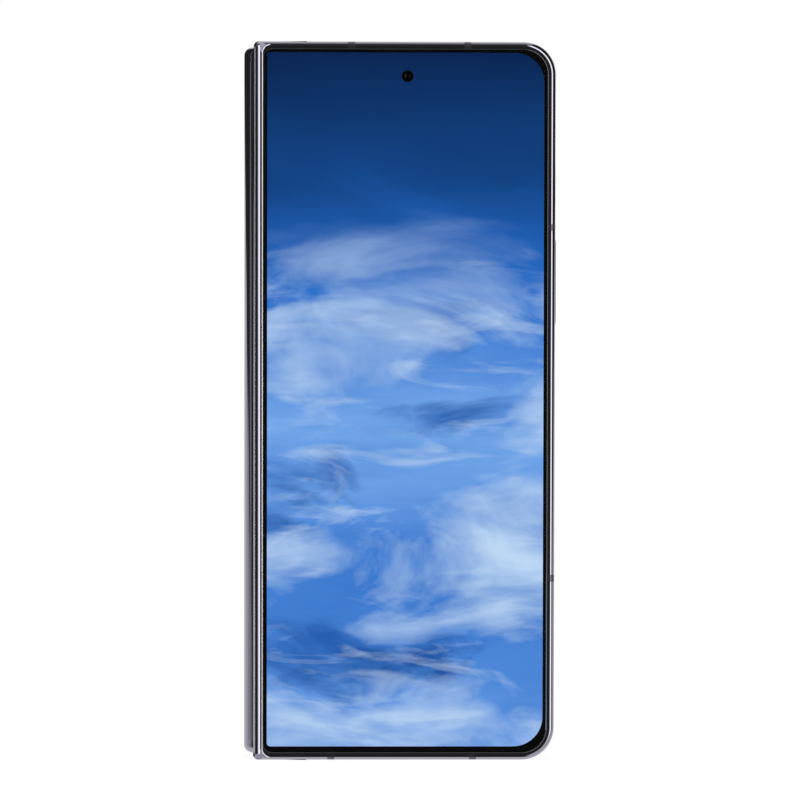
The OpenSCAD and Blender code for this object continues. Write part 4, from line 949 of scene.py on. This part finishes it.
# The lens inside it: its share of the radius, how deep it sits, its thickness and the rise of its dome
ELEMENT_SHARE, ELEMENT_DEPTH = 0.45, 0.40 * MM
ELEMENT_THICK, ELEMENT_RISE = 0.1 * MM, 0.32 * MM
element_r, element_y = ELEMENT_SHARE * LENS_R, lens_high.y - ELEMENT_DEPTH
element = [(0, element_y - ELEMENT_THICK, 0), (element_r, element_y - ELEMENT_THICK, 0)]
for degrees in range(90, -1, -10):
    angle = math.radians(degrees)
    element.append((element_r * math.sin(angle), element_y + ELEMENT_RISE * math.cos(angle), 0))
camera_body = body_of("lens_glasses")
barrels = lathe("lens_barrels", barrel, LENS_CENTRES, 64)
add_piece("lens_barrels", barrels, FINISHES["black_plastic"], camera_body, "black_plastic", "lens_glasses")
LENS_COAT = with_input(
    finish("Violet lens coating", (0.035, 0.02, 0.09), 0.03, 0.0, 0.6, 900, 260), "IOR", 1.9
)
elements = lathe("lens_elements", element, LENS_CENTRES)
add_piece("lens_elements", elements, LENS_COAT, camera_body, "lens_glass", "lens_glasses")

flash_low, flash_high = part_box("flash_window")
flash_r = (flash_high.x - flash_low.x) / 2
FLASH_RIDGES, RIDGE_SHARE = 7, 0.6
RIDGE_DEPTH, FLASH_DIP = 0.06 * MM, 0.02 * MM
flash_shape = [(0, flash_low.y, 0), (flash_r, flash_low.y, 0), (flash_r, flash_high.y, 0)]
for ridge in range(FLASH_RIDGES, 0, -1):
    valley = flash_r * (ridge + RIDGE_SHARE) / (FLASH_RIDGES + 1)
    flash_shape.append((valley, flash_high.y - RIDGE_DEPTH, 0))
    flash_shape.append((flash_r * ridge / (FLASH_RIDGES + 1), flash_high.y, 0))
flash_shape.append((0, flash_high.y - FLASH_DIP, 0))
flash_place = ((flash_low.x + flash_high.x) / 2, (flash_low.z + flash_high.z) / 2)
show("flash_lens", lathe("flash_lens", flash_shape, [flash_place], 40), "flash_window")

coil_low, coil_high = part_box("charging_coil")
# Metres: the coil's inner radius, the width of its band and the room round it. Its wire fills a share of
# each turn and of the height.
COIL_TURNS = 16
COIL_INNER, COIL_BAND, COIL_ROOM = 0.0102, 0.011, 0.02 * MM
WIRE_FILL, WIRE_TALL = 0.8, 0.96
coil_width = COIL_BAND / COIL_TURNS * WIRE_FILL
coil_values = {
    "Inner radius": COIL_INNER,
    "Outer radius": (coil_high.x - coil_low.x) / 2 - coil_width / 2 - COIL_ROOM,
    "Turns": float(COIL_TURNS),
    "Wire width": coil_width,
    "Wire height": (coil_high.y - coil_low.y) * WIRE_TALL,
    "Centre": tuple((coil_low + coil_high) / 2),
}
coil_maker = coil_tree("Wound coil", FINISHES["copper"])
coil_mesh = made_plain("coil_windings", [(0, 0, 0)], coil_maker, coil_values)
show("coil_windings", coil_mesh, "charging_coil")

# A screw from the middle of its recess to the middle of its foot: radius and depth in millimetres, and
# how deeply six lobes cut it
SCREW_SHAPE = (
    (0, 0.22, 0), (0.34, 0.20, 0.3), (0.36, 0.02, 0.3), (0.38, 0, 0.25), (0.69, 0, 0), (0.73, 0.02, 0),
    (0.75, 0.07, 0), (0.75, 0.35, 0), (0.4, 0.35, 0), (0.4, 2.62, 0), (0.33, 2.7, 0), (0, 2.7, 0),
)
for node, facing in (("rear_screws", 1), ("front_screws", -1)):
    parts = loose_parts(node)
    shape = [(radius * MM, facing * depth * MM, lobes) for radius, depth, lobes in SCREW_SHAPE]
    screw = new_object(node + "_part", lathe(node + "_part", shape))
    points = [
        ((low.x + high.x) / 2, low.y if facing > 0 else high.y, (low.z + high.z) / 2) for low, high in parts
    ]
    tree = copies_tree(node + " set", FINISHES["screw_steel"])
    mesh = made_plain(node + "_set", points, tree, {"Part": screw})
    bpy.data.objects.remove(screw)
    show(node + "_set", mesh, node)


# ---------- the inner display ----------


# The bend's slope, and the reaches between which a folded layer turns from the half to the spine
TILT_COS, TILT_SIN = math.cos(BEND_TILT), math.sin(BEND_TILT)
EASE_START = BEND_RUN * TILT_COS + FLEX_Y * TILT_SIN
EASE_END = (AXIS_Y - FLEX_Y) * TILT_COS


def bend_turn(reach):
    """How far a folded layer has turned at a reach from the hinge axis."""
    t = min(1, max(0, (EASE_START - reach) / (EASE_START - EASE_END)))
    return math.radians(90 * (1 - t * t * (3 - 2 * t)))


def bend_point(level, k):
    """A point of the folded layer whose face is level from the axis when the phone is open."""
    crown = level * TILT_COS
    last = BEND_RUN * TILT_COS + (AXIS_Y - level) * TILT_SIN
    reach = crown + (last - crown) * k
    turn = bend_turn(reach)
    along = reach - AXIS_Y * TILT_SIN
    wide = math.sin(turn + BEND_TILT)
    return (
        AXIS_X + (along * math.sin(turn) + level * TILT_SIN) / wide,
        (level * TILT_COS - along * math.cos(turn)) / wide - AXIS_Y,
    )


def bend_strip(name, outer_level, inner_level, z0, z1, side):
    """One side of a folded layer, from the middle of the fold to the flat stretch."""
    def curve(level):
        points = [(AXIS_X + level, 0.0)]
        for step in range(1, BEND_STEPS + 1):
            x, y = bend_point(level, step / BEND_STEPS)
            points.append((x, y * side))
        return points
    loop = curve(outer_level) + curve(inner_level)[::-1]
    return ring_mesh(name, [[(x, y, z) for x, y in loop] for z in (z0, z1)])


def fold_layer(name, node, outer_level, inner_level, z0, z1):
    """A folded layer in two pieces, each of which bends between the spine and one half."""
    slot = slot_of(node)
    for side, label in ((1, "front"), (-1, "rear")):
        mesh = bend_strip(f"{name}_{label}", outer_level, inner_level, z0, z1, side)
        piece = add_piece(f"{name}_{label}", mesh, FINISHES[slot], None, slot, node)
        if side > 0:
            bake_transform(piece)
        else:
            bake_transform(piece)


# Each layer's outer and inner level from the axis
FILM_LEVELS = (1.15 * MM, 0.85 * MM)
GRID_LEVELS = (0.83 * MM, 0.65 * MM)
CABLE_LEVELS = (0.59 * MM, 0.47 * MM)
cable_low, cable_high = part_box("hinge_flex")
fold_layer("fold_film", "display_fold", *FILM_LEVELS, fold_low.z, fold_high.z)
fold_layer("fold_grid", "fold_lattice", *GRID_LEVELS, fold_low.z, fold_high.z)
fold_layer("fold_cable", "hinge_flex", *CABLE_LEVELS, cable_low.z, cable_high.z)
INNER_RADII = [SMALLEST_ROUND, 3 * MM, 3 * MM, SMALLEST_ROUND]
for node, name, facing in (
    ("front_display", "front_inner_display", 1),
    ("rear_display", "rear_inner_display", -1),
):
    low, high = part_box(node)
    show(name, flat_plate(name, low, high, INNER_RADII, front=facing), node)


# ---------- camera, lights and floor ----------

# Where the photo was taken from, and the lens from its focal length in the photo's pixels
LOOK_AT = Vector((0.115, -6.7, 77.854)) * MM
LOOK_FROM = 800 * MM
LOOK_AZIMUTH = math.radians(-1.018)
LOOK_ELEVATION = math.radians(1.768)
LOOK_ROLL = math.radians(0.119)
FOCAL_PIXELS, PHOTO_PIXELS, SENSOR = 3716.5, 800, 36

sight = Vector((
    -math.sin(LOOK_AZIMUTH) * math.cos(LOOK_ELEVATION),
    math.cos(LOOK_AZIMUTH) * math.cos(LOOK_ELEVATION),
    -math.sin(LOOK_ELEVATION),
))
level_right = sight.cross(Vector((0, 0, 1))).normalized()
level_up = level_right.cross(sight)
right = level_right * math.cos(LOOK_ROLL) + level_up * math.sin(LOOK_ROLL)
up = right.cross(sight)
camera_data = bpy.data.cameras.new("camera")
camera_data.sensor_width = SENSOR
camera_data.lens = FOCAL_PIXELS / PHOTO_PIXELS * SENSOR
camera_data.clip_start = 0.01
camera = new_object("camera", camera_data)
turn = Matrix((right, up, -sight)).transposed().to_4x4()
camera.matrix_world = Matrix.Translation(LOOK_AT - sight * LOOK_FROM) @ turn
bpy.context.scene.camera = camera
bpy.context.scene.view_settings.view_transform = "Standard"

# Metres: the point at which the lamps are aimed, and how far from it they stand
MIDDLE = (0, 0, 0.08)
LAMP_DISTANCE = 1.3


def soft_light(name, place, size, power):
    """A square soft light at a place, aimed at the phone's middle, which polished surfaces don't show."""
    data = bpy.data.lights.new(name, "AREA")
    data.size = size
    data.energy = power
    lamp = new_object(name, data)
    away = Vector(place) - Vector(MIDDLE)
    lamp.matrix_world = Matrix.Translation(place) @ away.to_track_quat("Z", "Y").to_matrix().to_4x4()
    lamp.visible_glossy = False


def turned(azimuth, elevation, distance):
    """A place round the phone: azimuth from straight in front towards the free side, in degrees."""
    side, height = math.radians(azimuth), math.radians(elevation)
    reach = distance * math.cos(height)
    return (reach * math.sin(side), -reach * math.cos(side), MIDDLE[2] + distance * math.sin(height))


# Lamps: azimuth and elevation in degrees, size in metres and power in watts
for label, azimuth, elevation, size, power in (
    ("side light", 41, 25, 0.8, 10),
    ("overhead", 0, 88, 1.4, 18),
    ("front fill", -25, 20, 1.0, 6),
    ("left fill", -100, 25, 1.0, 8),
    ("back fill", 160, 30, 1.0, 10),
):
    soft_light(label, turned(azimuth, elevation, LAMP_DISTANCE), size, power)

# The world is white to the camera, an even fill to plain surfaces, and to polished ones a dark room with a
# white table, a tall soft box in front on the free side, a strip overhead, another behind on the free side
# and two dim ones in front and beside on the hinge side.
world = bpy.data.worlds.new("studio")
world.use_nodes = True
room = world.node_tree
directions = room.nodes.new("ShaderNodeTexCoord")
axes = add_node(room, "ShaderNodeSeparateXYZ", {"Vector": directions.outputs["Generated"]})
to_side, to_back, to_top = axes.outputs["X"], axes.outputs["Y"], axes.outputs["Z"]


def rise(value, start, end):
    """From 0 to 1 between two directions."""
    return spread(room, value, 0, 1, start, end)


def both(first, second):
    return reckon(room, "MULTIPLY", first, second)


def brighter(first, second):
    return reckon(room, "MAXIMUM", first, second)


def band(value, low, high, soft):
    """1 between two directions, with soft edges."""
    return both(rise(value, low - soft, low + soft), rise(value, high + soft, high - soft))


def chosen(tree, factor, first, second):
    """The first surface, and the second where the factor is 1."""
    return add_node(tree, "ShaderNodeMixShader", {"Fac": factor, 1: first, 2: second}).outputs["Shader"]


def white_world(strength):
    node = add_node(room, "ShaderNodeBackground", {"Color": (1, 1, 1), "Strength": strength})
    return node.outputs["Background"]


# The room's lights, by parts of a direction. Edges are two of them and how soft they are, a side, foot or
# near end is where a light sets in, and tones are two strengths and where the light has each.
BOX_EDGES, BOX_SIDE, BOX_TONES = (-0.81, -0.50, 0.02), (0.12, 0.25), (1.0, 2.5, -0.45, -0.15)
ABOVE_EDGES, ABOVE_FOOT, ABOVE_TONES = (-0.3, 0.3, 0.06), (0.30, 0.45), (0.05, 1.45, -0.5, 0.75)
WALL_EDGES, WALL_SIDE, WALL_FOOT = (0.69, 0.81, 0.015), (-0.1, 0.1), (0.028, 0.036)
WALL_TONES = (2.6, 0, 0.2, 0.5)
DIM_STRIPS, DIM_SIDE = (((-0.28, -0.20, 0.015), 0.3), ((-0.965, -0.94, 0.008), 0.22)), (0.0, -0.1)
TABLE_TILT, TABLE_DROP, TABLE_EDGE, TABLE_NEAR = 0.1, -0.05, (-0.008, 0.012), (-0.52, -0.30)
TABLE_BACK, TABLE_DOWN, TABLE_TONES = 0.6, -0.8, (0.1, 1.1, -0.4, 0.6)
BEHIND = (-0.1, 0.0)
DARKEST, FILL = 0.035, 0.35

box_light = both(band(to_back, *BOX_EDGES), rise(to_side, *BOX_SIDE))
box_light = both(box_light, spread(room, to_top, *BOX_TONES))
table_edge = reckon(room, "ADD", both(to_back, TABLE_TILT), TABLE_DROP)
table = rise(reckon(room, "SUBTRACT", table_edge, to_top), *TABLE_EDGE)
table = both(table, rise(to_back, *TABLE_NEAR))
table_tone = reckon(room, "ADD", both(to_back, TABLE_BACK), both(to_top, TABLE_DOWN))
table = both(table, reckon(room, "MINIMUM", spread(room, table_tone, *TABLE_TONES), 1.0))
above = both(rise(to_top, *ABOVE_FOOT), band(to_side, *ABOVE_EDGES))
above = both(above, spread(room, to_back, *ABOVE_TONES))
wall = both(band(to_back, *WALL_EDGES), rise(to_top, *WALL_FOOT))
wall = both(both(wall, spread(room, to_top, *WALL_TONES)), rise(to_side, *WALL_SIDE))
glow = brighter(brighter(brighter(box_light, table), above), wall)
for edges, strength in DIM_STRIPS:
    strip = both(band(to_back, *edges), rise(to_side, *DIM_SIDE))
    glow = brighter(glow, both(strip, strength))
glow = brighter(glow, DARKEST)

path = room.nodes.new("ShaderNodeLightPath").outputs
through = both(path["Is Transmission Ray"], rise(to_back, *BEHIND))
shown = brighter(path["Is Camera Ray"], through)
mirrored = brighter(path["Is Glossy Ray"], path["Is Transmission Ray"])
unseen = chosen(room, mirrored, white_world(FILL), white_world(glow))
feed(room.nodes["World Output"], {"Surface": chosen(room, shown, unseen, white_world(1.0))})
bpy.context.scene.world = world

# The floor's half size in metres, how white it glows near the phone, and where that turns to full white
FLOOR_REACH = 3.0
NEAR_GLOW, GLOW_RUN = 0.9, (0.12, 0.5)
FLOOR_Z = cad_bounds[0].z


def white_stage(name):
    """A white floor that takes the phone's soft shadow nearby and stays white farther off."""
    material, tree, out = empty_material(name)
    paint = add_node(tree, "ShaderNodeBsdfDiffuse", {"Color": (0.85, 0.85, 0.85)})
    light = tree.nodes.new("ShaderNodeEmission")
    seen = tree.nodes.new("ShaderNodeLightPath").outputs
    away = length_of(tree, tree.nodes.new("ShaderNodeTexCoord").outputs["Object"])
    share = reckon(tree, "MAXIMUM", seen["Is Camera Ray"], seen["Is Transmission Ray"])
    share = reckon(tree, "MULTIPLY", share, spread(tree, away, NEAR_GLOW, 1.0, *GLOW_RUN))
    feed(out, {"Surface": chosen(tree, share, paint.outputs["BSDF"], light.outputs["Emission"])})
    return material


floor_mesh = bpy.data.meshes.new("floor")
floor_mesh.from_pydata(
    [(x * FLOOR_REACH, y * FLOOR_REACH, FLOOR_Z) for x, y in ((-1, -1), (1, -1), (1, 1), (-1, 1))],
    [], [(0, 1, 2, 3)],
)
floor_mesh.materials.append(white_stage("White floor"))
floor = new_object("floor", floor_mesh)
floor.visible_glossy = False
floor.visible_transmission = False
